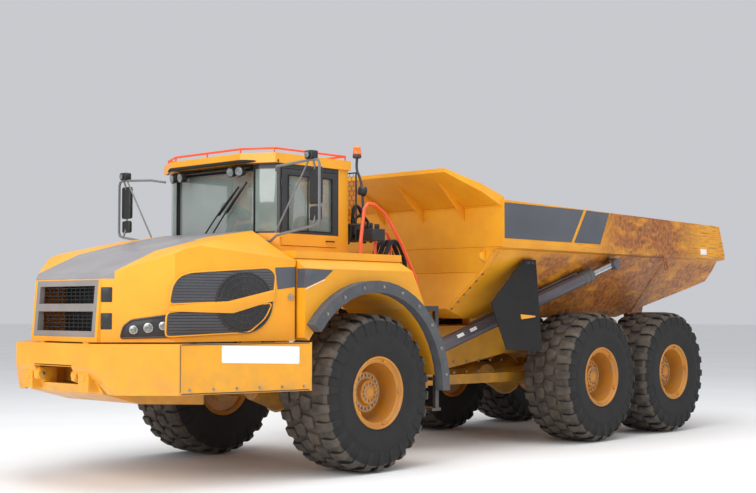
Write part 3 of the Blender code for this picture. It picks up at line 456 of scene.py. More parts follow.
def block(low, high, bevel=0.006, segments=2):
    """A box between two corners with its edges rounded."""
    low, high = Vector(low), Vector(high)
    obj = place_in_mesh(add("cube", size=1, location=(low + high) / 2, scale=high - low))
    return soften(obj, min(bevel, min(high - low) * 0.45), segments)


def rod(start, end, radius, sides=16, bevel=0.25, end_radius=None):
    """A round bar between two points with its end edges rounded by a share of its radius."""
    start, end = Vector(start), Vector(end)
    run = end - start
    tip = radius if end_radius is None else end_radius
    obj = add("cone", vertices=sides, radius1=radius, radius2=tip, depth=run.length,
              location=(start + end) / 2, rotation=run.to_track_quat("Z", "Y").to_euler())
    place_in_mesh(obj)
    way = run.normalized()
    return soften(obj, min(radius, tip) * bevel, wanted=lambda face: abs(face.normal.dot(way)) > 0.9)


AXES = {"X": Vector((1, 0, 0)), "Y": Vector((0, 1, 0)), "Z": Vector((0, 0, 1))}


def lathe(profile, centre, axis="Y", steps=48):
    """A circle extruded and resized through a profile of (outward, radius) points."""
    turn = {"X": (0, math.pi / 2, 0), "Y": (-math.pi / 2, 0, 0), "Z": (0, 0, 0)}[axis]
    way, centre = AXES[axis], Vector(centre)
    out, radius = profile[0]
    obj = add("circle", vertices=steps, radius=radius, location=centre + way * out, rotation=turn)
    place_in_mesh(obj)
    bpy.ops.object.mode_set(mode="EDIT")
    bpy.ops.mesh.select_mode(type="EDGE")
    bpy.ops.mesh.select_all(action="SELECT")
    for (was_out, was), (out, radius) in zip(profile, profile[1:]):
        bpy.ops.mesh.extrude_region_move(TRANSFORM_OT_translate={"value": way * (out - was_out)})
        scale = [radius / was] * 3
        scale["XYZ".index(axis)] = 1
        bpy.ops.transform.resize(value=scale, center_override=centre + way * out)
    bpy.ops.object.mode_set(mode="OBJECT")
    return obj


def pick_open_rims():
    """In edit mode, the edges that have only one face are selected."""
    bpy.ops.mesh.select_mode(type="EDGE")
    bpy.ops.mesh.select_non_manifold(extend=False, use_wire=False, use_multi_face=False,
                                     use_non_contiguous=False, use_verts=False)


def close_and_face_out(obj):
    """Merges doubled points, fills open rims and turns every face outwards."""
    edit(obj)
    bpy.ops.mesh.remove_doubles(threshold=0.0002)
    bpy.ops.mesh.select_all(action="DESELECT")
    pick_open_rims()
    if any(edge.select for edge in bmesh.from_edit_mesh(obj.data).edges):
        bpy.ops.mesh.edge_face_add()
    bpy.ops.mesh.select_all(action="SELECT")
    bpy.ops.mesh.normals_make_consistent(inside=False)
    bpy.ops.object.mode_set(mode="OBJECT")
    return obj


def merge(objs):
    """Several objects joined into the first."""
    clear()
    for obj in objs:
        obj.select_set(True)
    bpy.context.view_layer.objects.active = objs[0]
    bpy.ops.object.join()
    return bpy.context.object


def again(obj, matrix, flip=False):
    """A copy with its own mesh, moved by a matrix; a mirrored one has its faces turned back."""
    twin = obj.copy()
    twin.data = obj.data.copy()
    bpy.context.scene.collection.objects.link(twin)
    twin.data.transform(matrix)
    if flip:
        twin.data.flip_normals()
    return twin


MIRROR_Y = Matrix.Diagonal((1, -1, 1, 1))


def other_side(obj):
    return again(obj, MIRROR_Y, flip=True)


def turns(obj, count, centre, axis="Y"):
    """The object and its copies turned evenly about an axis through centre, joined."""
    to, back = Matrix.Translation(centre), Matrix.Translation(-Vector(centre))
    copies = [again(obj, to @ Matrix.Rotation(math.tau * i / count, 4, axis) @ back) for i in range(1, count)]
    return merge([obj, *copies])


def pipe(points, radius, smooth=True, closed=False, sides=3):
    """A round tube along a line of points, made as a curve and converted to a mesh."""
    clear()
    curve = bpy.data.curves.new("route", "CURVE")
    curve.dimensions = "3D"
    curve.bevel_depth = radius
    curve.bevel_resolution = sides
    curve.use_fill_caps = not closed
    if smooth:
        line = curve.splines.new("BEZIER")
        line.bezier_points.add(len(points) - 1)
        for point, place in zip(line.bezier_points, points):
            point.co = place
            point.handle_left_type = point.handle_right_type = "AUTO"
        line.resolution_u = 6
    else:
        line = curve.splines.new("POLY")
        line.points.add(len(points) - 1)
        for point, place in zip(line.points, points):
            point.co = (*place, 1)
    line.use_cyclic_u = closed
    obj = bpy.data.objects.new("route", curve)
    bpy.context.scene.collection.objects.link(obj)
    choose(obj)
    bpy.ops.object.convert(target="MESH")
    return bpy.context.object


def strip(points, wide=0.010):
    """A seam, weld or fold line: a thin straight bar half sunk in the plate that it lies on."""
    return pipe(points, wide, smooth=False, sides=1)


def slab(points, push, bevel):
    """A flat outline pushed out into a solid: a circle's points are moved to the outline first."""
    obj = add("circle", vertices=len(points), radius=1, fill_type="NGON")
    for point, place in zip(obj.data.vertices, points):
        point.co = place
    edit(obj)
    bpy.ops.mesh.extrude_region_move(TRANSFORM_OT_translate={"value": push})
    bpy.ops.mesh.select_all(action="SELECT")
    bpy.ops.mesh.normals_make_consistent(inside=False)
    if bevel:
        bpy.ops.mesh.bevel(offset=bevel, segments=2, affect="EDGES")
    bpy.ops.object.mode_set(mode="OBJECT")
    return obj


def plate(outline, axis, low, high, bevel=0.004):
    """A flat outline given thickness along one axis."""
    order = {"X": lambda u, v: (low, u, v), "Y": lambda u, v: (u, low, v), "Z": lambda u, v: (u, v, low)}[axis]
    return slab([order(u, v) for u, v in outline], AXES[axis] * (high - low), bevel)


def bolt(place, way, size=0.014):
    """A hexagon head on its washer, its top edge chamfered, looking along way."""
    place, way = Vector(place), Vector(way).normalized()
    turn = way.to_track_quat("Z", "Y").to_euler()
    head = add("cylinder", vertices=6, radius=size, depth=size * 1.1, location=place + way * size * 0.7, rotation=turn)
    place_in_mesh(head)
    edit(head, lambda face: face.normal.dot(way) > 0.9)
    bpy.ops.mesh.inset(thickness=size * 0.18)
    bpy.ops.transform.translate(value=way * size * 0.12)
    bpy.ops.object.mode_set(mode="OBJECT")
    washer = add("cylinder", vertices=14, radius=size * 1.45, depth=size * 0.34,
                 location=place + way * size * 0.17, rotation=turn)
    place_in_mesh(washer)
    edit(washer, lambda face: face.normal.dot(way) > 0.9)
    bpy.ops.mesh.inset(thickness=size * 0.2)
    bpy.ops.object.mode_set(mode="OBJECT")
    return merge([head, washer])


def bolts(places, way, size=0.014):
    """One bolt, copied to each place."""
    first = bolt((0, 0, 0), way, size)
    copies = [again(first, Matrix.Translation(place)) for place in places]
    bpy.data.objects.remove(first)
    return merge(copies)


print("helpers ready")

# %% [markdown]
# ## Tyres
# An earthmover tyre is a smooth casing with deep lugs bonded to it: two rows of six-sided blocks
# down the middle and a row of shoulder lugs each side that wrap over the edge. The casing is turned
# from a profile; one pitch of lugs is modelled at the top and copied round, 26 times.

# %% Casing
PITCHES = 26
GROOVE = TYRE_RADIUS - 0.045
HUB = Vector((AXLE_1, TRACK, TYRE_RADIUS))
BEAD = 0.402
half_profile = [
    (0.340, BEAD), (0.352, BEAD + 0.012), (0.356, BEAD + 0.045), (0.366, BEAD + 0.09), (0.378, BEAD + 0.16),
    (0.381, BEAD + 0.21), (0.381, BEAD + 0.225), (0.375, BEAD + 0.24), (0.374, BEAD + 0.31), (0.368, BEAD + 0.36),
    (0.352, BEAD + 0.405), (0.320, BEAD + 0.432), (0.22, GROOVE - 0.004), (0.10, GROOVE),
]
casing = [(-out, r) for out, r in half_profile] + [(out, r) for out, r in reversed(half_profile)]
tyre = lathe(casing, HUB, steps=104)
edit(tyre, lambda face: False)
pick_open_rims()
bpy.ops.mesh.bridge_edge_loops()
bpy.ops.mesh.select_all(action="SELECT")
bpy.ops.mesh.normals_make_consistent(inside=False)
bpy.ops.object.mode_set(mode="OBJECT")
done(tyre, "casing", SIDEWALL, TREAD)
print("casing faces", len(tyre.data.polygons))

# %% One pitch of lugs


def lug(outline, low, high, bevel=0.012):
    """A tread block: its outline in (along the tread, across it), raised from low to high radius."""
    shape = plate([(HUB.x + u, HUB.y + v) for u, v in outline], "Z", HUB.z + low, HUB.z + high, 0)
    return soften(shape, bevel, wanted=lambda face: face.normal.z > 0.9)


PITCH = math.tau * TYRE_RADIUS / PITCHES
top, sunk = TYRE_RADIUS - 0.004, GROOVE - 0.03
block_outline = [(-0.086, 0.030), (-0.052, 0.006), (0.052, 0.006), (0.086, 0.052), (0.066, 0.150), (-0.050, 0.158)]
pair = [
    lug(block_outline, sunk, top),
    lug([(u + PITCH / 2, -v) for u, v in reversed(block_outline)], sunk, top),
]
shoulder_face = [(0.185, 0), (0.30, -0.008), (0.352, -0.028), (0.380, -0.085), (0.382, -0.215),
                 (0.366, -0.225), (0.30, -0.12)]


def shoulder(side, shift):
    """A shoulder lug: an outline in the plane of the axle, thick along the tread, that wraps over the edge."""
    outline = [(HUB.y + side * v, HUB.z + top + w) for v, w in shoulder_face]
    outline.append((HUB.y + side * 0.185, HUB.z + sunk))
    piece = plate(outline, "X", HUB.x + shift - 0.066, HUB.x + shift + 0.066, 0)
    soften(piece, 0.010, 1)
    for point in piece.data.vertices:
        share = min(1, max(0, (abs(point.co.y - HUB.y) - 0.185) / 0.2))
        point.co.x = HUB.x + shift + (point.co.x - HUB.x - shift) * (1 - 0.30 * share)
    return piece


pitch_of_lugs = merge([*pair, shoulder(1, PITCH * 0.30), shoulder(-1, PITCH * 0.80)])
# The pitch is modelled flat and then wrapped round the axle, so that no lug stands past the tread.
for point in pitch_of_lugs.data.vertices:
    angle, out = (point.co.x - HUB.x) / TYRE_RADIUS, point.co.z - HUB.z
    point.co.x, point.co.z = HUB.x + out * math.sin(angle), HUB.z + out * math.cos(angle)
lugs = turns(pitch_of_lugs, PITCHES, HUB)
done(lugs, "lugs", SIDEWALL, TREAD)
for source, worn_depth in ((lugs, 0.075), (tyre, 0.085)):
    for face in source.data.polygons:
        out = Vector((face.center.x - HUB.x, 0, face.center.z - HUB.z))
        face.material_index = int(out.length > TYRE_RADIUS - worn_depth)
tyre = merge([tyre, lugs])
print("tyre triangles", sum(len(p.vertices) - 2 for p in tyre.data.polygons))

# %% [markdown]
# ## Rims
# The wheel is a multi-piece earthmover rim: a wide flange, a lock ring, a deep cone and a hub face
# with a ring of nuts round the planetary hub. It is turned from one profile, and one nut is copied.

# %% Rim and hub
rim_profile = [
    (-0.30, 0.345), (-0.335, 0.355), (-0.362, 0.39), (-0.352, 0.399), (0.338, 0.399), (0.352, 0.408), (0.364, 0.402),
    (0.364, 0.388), (0.352, 0.378), (0.335, 0.372), (0.331, 0.356), (0.322, 0.350), (0.318, 0.336), (0.250, 0.328),
    (0.120, 0.322), (0.075, 0.310), (0.048, 0.282), (0.040, 0.262), (0.052, 0.246), (0.100, 0.240), (0.150, 0.232),
    (0.160, 0.222), (0.162, 0.150), (0.180, 0.142), (0.205, 0.136), (0.214, 0.124), (0.216, 0.070), (0.222, 0.062),
    (0.236, 0.030),
]
rim = close_and_face_out(lathe(rim_profile, HUB, steps=72))
nut = bolt(HUB + Vector((0, 0.161, 0.188)), (0, 1, 0), 0.014)
nuts = turns(nut, 20, HUB)
rivet = bolt(HUB + Vector((0, 0.223, 0.098)), (0, 1, 0), 0.009)
cover_bolts = turns(rivet, 12, HUB)
clip = block(HUB + Vector((-0.028, 0.330, 0.348)), HUB + Vector((0.028, 0.352, 0.374)), 0.004)
clips = turns(clip, 5, HUB)
nuts = done(merge([nuts, cover_bolts]), "nuts", STEEL)
rim = done(merge([rim, clips]), "rim", RIM_PAINT)
rim = merge([rim, nuts])
stem = [(0.20, 0.06, 0.24), (0.22, 0.16, 0.26), (0.235, 0.25, 0.275)]
valve = pipe([HUB + Vector(point) for point in stem], 0.006)
rim = merge([rim, done(valve, "valve", STEEL)])
print("rim triangles", sum(len(p.vertices) - 2 for p in rim.data.polygons))

# %% Six wheels, each with its own mesh
for place, x in (("front", AXLE_1), ("middle", AXLE_2), ("rear", AXLE_3)):
    for side, label in ((1, "left"), (-1, "right")):
        turn = Matrix.Translation((x, side * TRACK, TYRE_RADIUS))
        if side < 0:
            turn = turn @ Matrix.Rotation(math.pi, 4, "Z")
        turn = turn @ Matrix.Rotation(0.37 * x, 4, "Y") @ Matrix.Translation(-HUB)
        for source, kind in ((tyre, "tyre"), (rim, "rim")):
            piece = again(source, turn)
            piece.name = piece.data.name = f"{kind}_{place}_{label}_detail"
            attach(piece, f"wheel_{place}_{label}")
            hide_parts(f"{kind}_{place}_{label}")
for source in (tyre, rim):
    bpy.data.objects.remove(source)

# %% [markdown]
# ## Putting pieces on the truck
# Every piece rides on a body. `fit` finishes a piece and puts it on its body.

# %% Helper for fitting


def fit(obj, name, body, slot, *finishes, angle=35):
    piece = done(obj, name, *finishes, angle=angle)
    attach(piece, body)
    return piece


def fit_pair(obj, name, body, slot, *finishes):
    """The left piece and its mirror image on the right; a body that has a right twin gives that one its piece."""
    obj.name = name
    twin = other_side(place_in_mesh(obj))
    fit(obj, f"{name}_left", body, slot, *finishes)
    fit(twin, f"{name}_right", body.replace("_left", "_right"), slot, *finishes)


# %% [markdown]
# ## Hood sides
# The hood's side is one flat face that runs outwards to the rear. Vents and lamps are outlined on it
# in its own directions: a point on the face is given by how far back it lies and how high, and the
# face's own slope gives the rest.

# %% Points on the hood's faces
SIDE_FRONT, SIDE_REAR = Vector(at(2.45, 1.15)), Vector(at(0.11, 1.76))
CORNER_FRONT = Vector(at(2.95, 0.60))


def on_face(front, rear, share, z, out=0.0):
    """A point on an upright face between two plan points, share of the way back, and out from it."""
    run = rear - front
    normal = Vector((run.y, -run.x)).normalized()
    spot = front + run * share + normal * out
    return Vector((spot.x, spot.y, z))


def hood_side(back, z, out=0.0):
    """A point on the left side face, back metres behind axle station + 2.45."""
    run = SIDE_REAR - SIDE_FRONT
    return on_face(SIDE_FRONT, SIDE_REAR, back / -run.x, z, out)


def hood_corner(share, z, out=0.0):
    return on_face(CORNER_FRONT, SIDE_FRONT, share, z, out)


def sheet_on(face, outline, low, high, bevel=0.003):
    """A panel whose outline lies on a face, from low to high metres out of it."""
    way = (face(0, 2, 1) - face(0, 2, 0)).normalized()
    return slab([face(u, z, low) for u, z in outline], way * (high - low), bevel)


def rounded(outline, radius=0.03, steps=3):
    """An outline with each corner cut into a short arc."""
    points = []
    count = len(outline)
    for i, here in enumerate(outline):
        here, before, after = Vector(here), Vector(outline[i - 1]), Vector(outline[(i + 1) % count])
        reach = min(radius, (before - here).length * 0.45, (after - here).length * 0.45)
        a, b = here + (before - here).normalized() * reach, here + (after - here).normalized() * reach
        for k in range(steps + 1):
            t = k / steps
            points.append(a * (1 - t) ** 2 + here * 2 * t * (1 - t) + b * t ** 2)
    return points


print("side of the hood", [round(v, 3) for v in hood_side(0.8, 2.0)])

# %% [markdown]
# ## Vents
# Each side has two dark vents, an upper blade that sweeps back and a lower one under it, with the
# cooler's fan behind. A vent is a dark panel with a raised frame, and its mesh is a row of slats.

# %% Vent panels, slats and fan
UPPER_VENT = [(-0.055, 1.875), (-0.02, 2.06), (0.05, 2.155), (0.17, 2.195), (1.02, 2.258), (1.10, 2.19), (1.07, 1.92)]
LOWER_VENT = [(-0.08, 1.79), (-0.09, 1.545), (0.80, 1.585), (0.98, 1.73), (1.06, 1.885)]
upper = rounded(UPPER_VENT, 0.05)
lower = rounded(LOWER_VENT, 0.05)
fit_pair(sheet_on(hood_side, upper, -0.004, 0.006), "vent_upper", "hood", "dark_paint", VENT_GREY)
fit_pair(sheet_on(hood_side, lower, -0.004, 0.006), "vent_lower", "hood", "dark_paint", VENT_GREY)


def grown(outline, by):
    """The outline moved outwards from its middle."""
    centre = sum((Vector(p) for p in outline), Vector((0, 0))) / len(outline)
    return [Vector(p) + (Vector(p) - centre).normalized() * by for p in outline]


for name, outline in (("upper", upper), ("lower", lower)):
    rim_line = [hood_side(u, z, 0.006) for u, z in grown(outline, 0.008)]
    fit_pair(pipe(rim_line, 0.009, smooth=False, closed=True), f"vent_{name}_frame", "hood", "yellow_paint", YELLOW)

# The slats are 6 mm wires, 30 mm apart, drawn only inside each outline.


def row_span(outline, z):
    """Where a level line crosses the outline, first and last."""
    crossings = []
    for a, b in zip(outline, [*outline[1:], outline[0]]):
        if (a[1] - z) * (b[1] - z) < 0:
            crossings.append(a[0] + (b[0] - a[0]) * (z - a[1]) / (b[1] - a[1]))
    return min(crossings), max(crossings)


slats = []
for outline, first, last in ((upper, 1.91, 2.22), (lower, 1.58, 1.86)):
    for z in np.arange(first, last, 0.030):
        start, end = row_span(outline, z)
        ends = [hood_side(start + 0.015, z, 0.006), hood_side(end - 0.015, z, 0.006)]
        slats.append(pipe(ends, 0.003, smooth=False, sides=0))
fit_pair(merge(slats), "vent_slats", "hood", "dark_paint", BLACK)

FAN = (0.75, 1.893)
FAN_OUT, FAN_WIRE, FAN_RADIUS = 0.011, 0.004, 0.315


def round_fan(radius, angle):
    return FAN[0] + radius * math.cos(angle), FAN[1] + radius * math.sin(angle)


def fan_ring(radius, out, wire):
    """A ring of wire round the fan, out metres off the side."""
    line = [hood_side(*round_fan(radius, a), out) for a in np.linspace(0, math.tau, 40, endpoint=False)]
    return pipe(line, wire, smooth=False, closed=True, sides=1)


rings = [fan_ring(radius, FAN_OUT, FAN_WIRE) for radius in (0.27, 0.205, 0.14)]
spokes = [strip([hood_side(*round_fan(0.05, a), FAN_OUT), hood_side(*round_fan(0.31, a + 0.25), FAN_OUT)], FAN_WIRE)
          for a in np.linspace(0, math.tau, 16, endpoint=False)]
# The black disc under the guard stands for the dark fan and for painted shade of the space behind the guard.
edge_points = [round_fan(FAN_RADIUS, a) for a in np.linspace(0, math.tau, 40, endpoint=False)]
fan_and_shade_disc = sheet_on(hood_side, edge_points, 0.002, 0.009, 0.002)
fit_pair(fan_and_shade_disc, "dark_fan_and_painted_shade", "hood", "dark_paint", BLACK)
fit_pair(merge([*rings, *spokes, fan_ring(FAN_RADIUS, 0.010, 0.007)]), "cooler_fan", "hood", "dark_paint", DARK)
print("fan spokes", len(spokes))

# %% [markdown]
# ## Sweep between the vents
# A painted blade crosses between the two vents, and a blank dark band with a thin pale line runs from
# the upper one back to the cab.

# %% Blade, band and cap
BLADE = [(-0.07, 1.80), (-0.05, 1.86), (0.55, 1.90), (1.09, 2.03), (1.10, 1.91), (1.00, 1.89), (0.62, 1.78)]
blade = rounded(BLADE, 0.02)
fit_pair(sheet_on(hood_side, blade, 0.0, 0.022, 0.006), "vent_blade", "hood", "yellow_paint", YELLOW)
band = [(1.10, 2.262), (1.335, 2.272), (1.335, 2.06), (1.13, 2.03)]
fit_pair(sheet_on(hood_side, band, 0.0, 0.0025, 0), "hood_band", "hood", "dark_paint", DECAL)
cap = rod(hood_side(1.28, 1.95, 0.0), hood_side(1.28, 1.95, 0.018), 0.035, 24)
key = rod(hood_side(1.28, 1.95, 0.014), hood_side(1.28, 1.95, 0.024), 0.012, 12)
fit_pair(merge([cap, key]), "filler_cap", "hood", "yellow_paint", STEEL)

# %% [markdown]
# ## Lamps
# Each front corner holds a cluster: a dark housing with three round lamps, each a bezel and a lens.

# %% Lamp clusters
housing = rounded([(0.27, 1.535), (0.31, 1.65), (0.42, 1.712), (0.95, 1.765), (0.97, 1.545)], 0.03)
fit_pair(sheet_on(hood_corner, housing, 0.0, 0.010), "lamp_housing", "hood", "dark_paint", BLACK)
frame_line = [hood_corner(u, z, 0.010) for u, z in housing]
fit_pair(pipe(frame_line, 0.010, smooth=False, closed=True), "lamp_frame", "hood", "dark_paint", DARK)


def face_lamp(share, z, radius):
    """A round lamp: a bright bezel and a domed lens on the corner face."""
    base, way = hood_corner(share, z, 0.008), (hood_corner(0, 1, 1) - hood_corner(0, 1, 0)).normalized()
    bezel = rod(base, base + way * 0.016, radius, 28, bevel=0.12)
    lens_piece = add("uv_sphere", segments=24, ring_count=12, radius=radius * 0.84, location=base + way * 0.010)
    place_in_mesh(lens_piece)
    edit(lens_piece)
    bpy.ops.mesh.bisect(plane_co=base + way * 0.010, plane_no=way, clear_inner=True)
    bpy.ops.mesh.select_all(action="SELECT")
    bpy.ops.object.mode_set(mode="OBJECT")
    for point in lens_piece.data.vertices:
        rise = (point.co - base - way * 0.010).dot(way)
        point.co -= way * rise * 0.72
    return bezel, lens_piece


LAMP_SPOTS = ((0.45, 1.615, 0.046), (0.65, 1.635, 0.052), (0.85, 1.655, 0.044))
bezels, lenses = zip(*[face_lamp(*place) for place in LAMP_SPOTS])
fit_pair(merge(list(bezels)), "lamp_bezels", "hood", "dark_paint", STEEL)
fit_pair(merge(list(lenses)), "lamp_lenses", "hood", "cab_glass", LENS)

# %% [markdown]
# ## Grille
# The grey nose has two openings with a dark mesh set back in them, and thin bars across each.

# %% Grille mesh and bars
GRILLE_X = AXLE_1 + 2.86
# For each opening: how far forward its level bars lie, their heights, and the ends of the upright ones.
LOWER_OPENING = (0.05, (1.64, 1.68, 1.72, 1.76), 1.605, 1.795)
UPPER_OPENING = (0.03, (1.92, 1.96, 2.00, 2.04), 1.885, 2.055)
bars = []
for ahead, levels, _, _ in (LOWER_OPENING, UPPER_OPENING):
    bars += [strip([(GRILLE_X + ahead, -0.495, z), (GRILLE_X + ahead, 0.495, z)], 0.006) for z in levels]
for y in np.linspace(-0.44, 0.44, 12):
    for ahead, _, low, high in (LOWER_OPENING, UPPER_OPENING):
        bars.append(strip([(GRILLE_X + ahead - 0.015, y, low), (GRILLE_X + ahead - 0.015, y, high)], 0.005))
fit(merge(bars), "grille_mesh", "hood", "dark_paint", BLACK)
# The grille wraps round each corner as two small openings, drawn as black sheets that stand for their dark mesh and for
# painted shade of the space behind it.
corner_openings_painted_shade = []
for low, high in ((1.62, 1.785), (1.895, 2.045)):
    opening = rounded([(0.0, low), (0.0, high), (0.15, high), (0.15, low)], 0.01)
    corner_openings_painted_shade.append(sheet_on(hood_corner, opening, 0.0, 0.004, 0.001))
fit_pair(merge(corner_openings_painted_shade), "grille_corners_mesh_and_painted_shade", "hood", "dark_paint", BLACK)
louvre = block((GRILLE_X + 0.075, -0.54, 1.812), (GRILLE_X + 0.112, 0.54, 1.866), 0.010, 3)
sill = block((GRILLE_X + 0.085, -0.55, 1.545), (GRILLE_X + 0.122, 0.55, 1.592), 0.010, 3)
fit(merge([louvre, sill]), "grille_bands", "hood", "grey_paint", GRILLE_GREY)
screen = block(at(2.665, -0.45, 1.50), at(2.685, 0.45, 2.13), 0.004)
fins = [block(at(2.680, -0.44, z), at(2.697, 0.44, z + 0.012), 0.002, 1) for z in np.arange(1.53, 2.10, 0.035)]
fit(merge([screen, *fins]), "radiator_core", "front_unit", "dark_paint", BLACK)

# %% [markdown]
# ## Bumper
# The bumper is folded plate. Small things give its size away: the seam where the side wings bolt on,
# a pale blank sign board, two tow lugs with their pins, and two small markers.

# %% Seams, sign board, lugs and markers
WING_FRONT, WING_REAR = Vector(at(2.55, 1.35)), Vector(at(1.10, 1.74))


def wing(share, z, out=0.0):
    return on_face(WING_FRONT, WING_REAR, share, z, out)


sign = sheet_on(wing, rounded([(0.31, 1.282), (0.31, 1.455), (0.90, 1.435), (0.90, 1.252)], 0.012), 0.0, 0.004, 0.001)
fit_pair(sign, "sign_board", "front_unit", "grey_paint", WHITE)
seam = strip([wing(0.012, 1.468, 0.0), wing(0.012, 1.0, 0.0)], 0.004)
lip = strip([wing(0.02, 1.470, 0.001), wing(0.98, 1.470, 0.001)], 0.006)
foot = strip([wing(0.02, 0.982, 0.001), wing(0.98, 0.982, 0.001)], 0.006)
fit_pair(merge([seam, lip, foot]), "bumper_seams", "front_unit", "dark_paint", DARK)
edge_bolts = bolts([wing(s, 1.02, 0.001) for s in np.linspace(0.08, 0.94, 6)], wing(0, 1, 1) - wing(0, 1, 0), 0.011)
fit_pair(edge_bolts, "bumper_bolts", "front_unit", "dark_paint", STEEL)
tow = plate([(NOSE - 0.26, 1.02), (NOSE - 0.02, 1.10), (NOSE - 0.015, 1.17), (NOSE - 0.05, 1.22), (NOSE - 0.26, 1.22)],
            "Y", 0.47, 0.53, 0.008)
collar = lathe([(0.455, 0.02), (0.455, 0.048), (0.463, 0.056), (0.537, 0.056), (0.545, 0.048), (0.545, 0.02)],
               (NOSE - 0.075, 0, 1.155), steps=28)
tow = merge([tow, close_and_face_out(collar)])
tow_inner = again(tow, Matrix.Translation((0, -0.16, 0)))
fit_pair(merge([tow, tow_inner]), "tow_lugs", "front_unit", "yellow_paint", YELLOW)
tow_pin = rod((NOSE - 0.075, 0.27, 1.155), (NOSE - 0.075, 0.575, 1.155), 0.019, 18)
fit_pair(tow_pin, "tow_pins", "front_unit", "rod_chrome", STEEL)
marker = block((NOSE - 0.002, 0.42, 1.36), (NOSE - 0.0005, 0.46, 1.41), 0.0006, 1)
fit_pair(marker, "bumper_markers", "front_unit", "grey_paint", WHITE)
crease = strip([(NOSE - 0.005, -0.66, 1.245), (NOSE - 0.005, 0.66, 1.245)], 0.004)
fit(crease, "bumper_crease", "front_unit", "yellow_paint", YELLOW)
print("bumper done")

# %% [markdown]
# ## Hood seams and cab corner
# The hood parts from the cab behind a 10 mm dark line, and the cab's front corners are curved glass,
# drawn here as tinted panels over the corner posts.

# %% Seams and corner glass
hood_seam = strip([hood_side(1.335, 1.50, 0.001), hood_side(1.335, 2.28, 0.001)], 0.005)
fit_pair(hood_seam, "hood_seam", "hood", "dark_paint", BLACK)
CAB_FRONT, CAB_SIDE = Vector(at(0.98, 0.76)), Vector(at(0.86, 0.97))


def cab_corner(share, z, out=0.0):
    return on_face(CAB_FRONT, CAB_SIDE, share, z, out)


TINT, tinted = start_finish("dark_tinted_corner_glass", 0.06, ior=1.52)
tinted.inputs["Coat Weight"].default_value = 0.4
smear = add_node(TINT, "Mix", {0: grain(TINT, 0.4, 0.3, 0.7), 6: "#66736F", 7: "#7E8B86"}, 2, **COLOURS)
finish_with(TINT, tinted, smear)
corner = sheet_on(cab_corner, [(-0.02, 2.69), (-0.02, 3.39), (0.88, 3.39), (0.88, 2.69)], 0.0, 0.005, 0.002)
edge_glass = block(at(0.978, 0.705, 2.69), at(0.985, 0.765, 3.39), 0.002, 1)
fit_pair(merge([corner, edge_glass]), "corner_glass", "front_unit", "cab_glass", TINT)

# %% [markdown]
# ## Windscreen fittings
# Black rubber seals run round each pane, two long wipers park on the screen, and a dark visor and a
# row of work lamps hang below the roof.

# %% Seals and wipers
SCREEN = AXLE_1 + 0.985


def seal(corners, radius=0.014):
    return pipe(corners, radius, smooth=False, closed=True, sides=2)


def upright(x, half, low, high):
    """The corners of a pane that looks ahead."""
    return [(x, -half, low), (x, -half, high), (x, half, high), (x, half, low)]


def sideways(rear, front, y, low, high):
    """The corners of a pane that looks sideways, between two distances ahead of the front axle."""
    return [at(rear, y, low), at(rear, y, high), at(front, y, high), at(front, y, low)]


front_seal = seal(upright(SCREEN, 0.69, 2.685, 3.385))
rear_seal = seal(upright(AXLE_1 - 0.233, 0.755, 2.675, 3.385))
right_seal = seal(sideways(-0.04, 0.78, -0.973, 2.675, 3.385))
fit(merge([front_seal, rear_seal, right_seal]), "window_seals", "front_unit", "flare_rubber", FLAP)
door_seal = seal(sideways(0.045, 0.735, 0.979, 2.705, 3.325), 0.010)
divider = pipe([at(0.43, 0.978, 2.705), at(0.43, 0.978, 3.325)], 0.009, smooth=False)
fit(merge([door_seal, divider]), "door_seal", "cab_door", "flare_rubber", FLAP)
handle = pipe([at(0.02, 0.979, 2.60), at(0.02, 0.994, 2.60), at(0.14, 0.994, 2.60),
               at(0.14, 0.979, 2.60)], 0.008)
fit(handle, "door_handle", "cab_door", "dark_paint", BLACK)

wipers = []
for foot_y, tip_y, tip_z in ((-0.16, 0.36, 3.14), (-0.02, 0.50, 3.18)):
    foot_at, tip = Vector((SCREEN + 0.030, foot_y, 2.665)), Vector((SCREEN + 0.022, tip_y, tip_z))
    wipers.append(pipe([foot_at, foot_at.lerp(tip, 0.5) + Vector((0.012, 0, 0)), tip], 0.009))
    way = (tip - foot_at).normalized()
    blade_ends = [tip - way * 0.36 + Vector((-0.010, 0, 0)), tip + way * 0.10 + Vector((-0.010, 0, 0))]
    wipers.append(pipe(blade_ends, 0.012))
    wipers.append(rod(foot_at - Vector((0.028, 0, 0)), foot_at + Vector((0.012, 0, 0)), 0.024, 16))
fit(merge(wipers), "wipers", "front_unit", "dark_paint", BLACK)

# %% Visor, roof rail and work lamps
ROOF_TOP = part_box("cab_roof")[1].z
visor = plate([at(0.99, 3.44), at(1.10, 3.40), at(1.10, 3.385), at(0.98, 3.405)], "Y", -0.66, 0.66, 0.004)
fit(visor, "sun_visor", "front_unit", "dark_paint", BLACK)
drip = pipe([at(0.90, 1.00, 3.468), at(1.142, 0.62, 3.468), at(1.142, -0.62, 3.468), at(0.90, -1.00, 3.468)],
            0.020, smooth=False)
fit(drip, "roof_drip_edge", "front_unit", "flare_rubber", FLAP)
edge = [at(1.10, 0.58), at(0.92, 0.95), at(-0.20, 0.95), at(-0.20, -0.95), at(0.92, -0.95),
        at(1.10, -0.58)]
rail_line = [Vector((x, y, ROOF_TOP + 0.055)) for x, y in edge]
roof_rail = pipe(rail_line, 0.013, smooth=False, closed=True)
stands = [pipe([(x, y, ROOF_TOP - 0.005), (x, y, ROOF_TOP + 0.055)], 0.010, smooth=False) for x, y in
          (*edge, at(0.35, 0.95), at(0.35, -0.95), at(-0.20, 0), at(1.10, 0))]
fit(merge([roof_rail, *stands]), "roof_rail", "front_unit", "orange_rail", ORANGE)


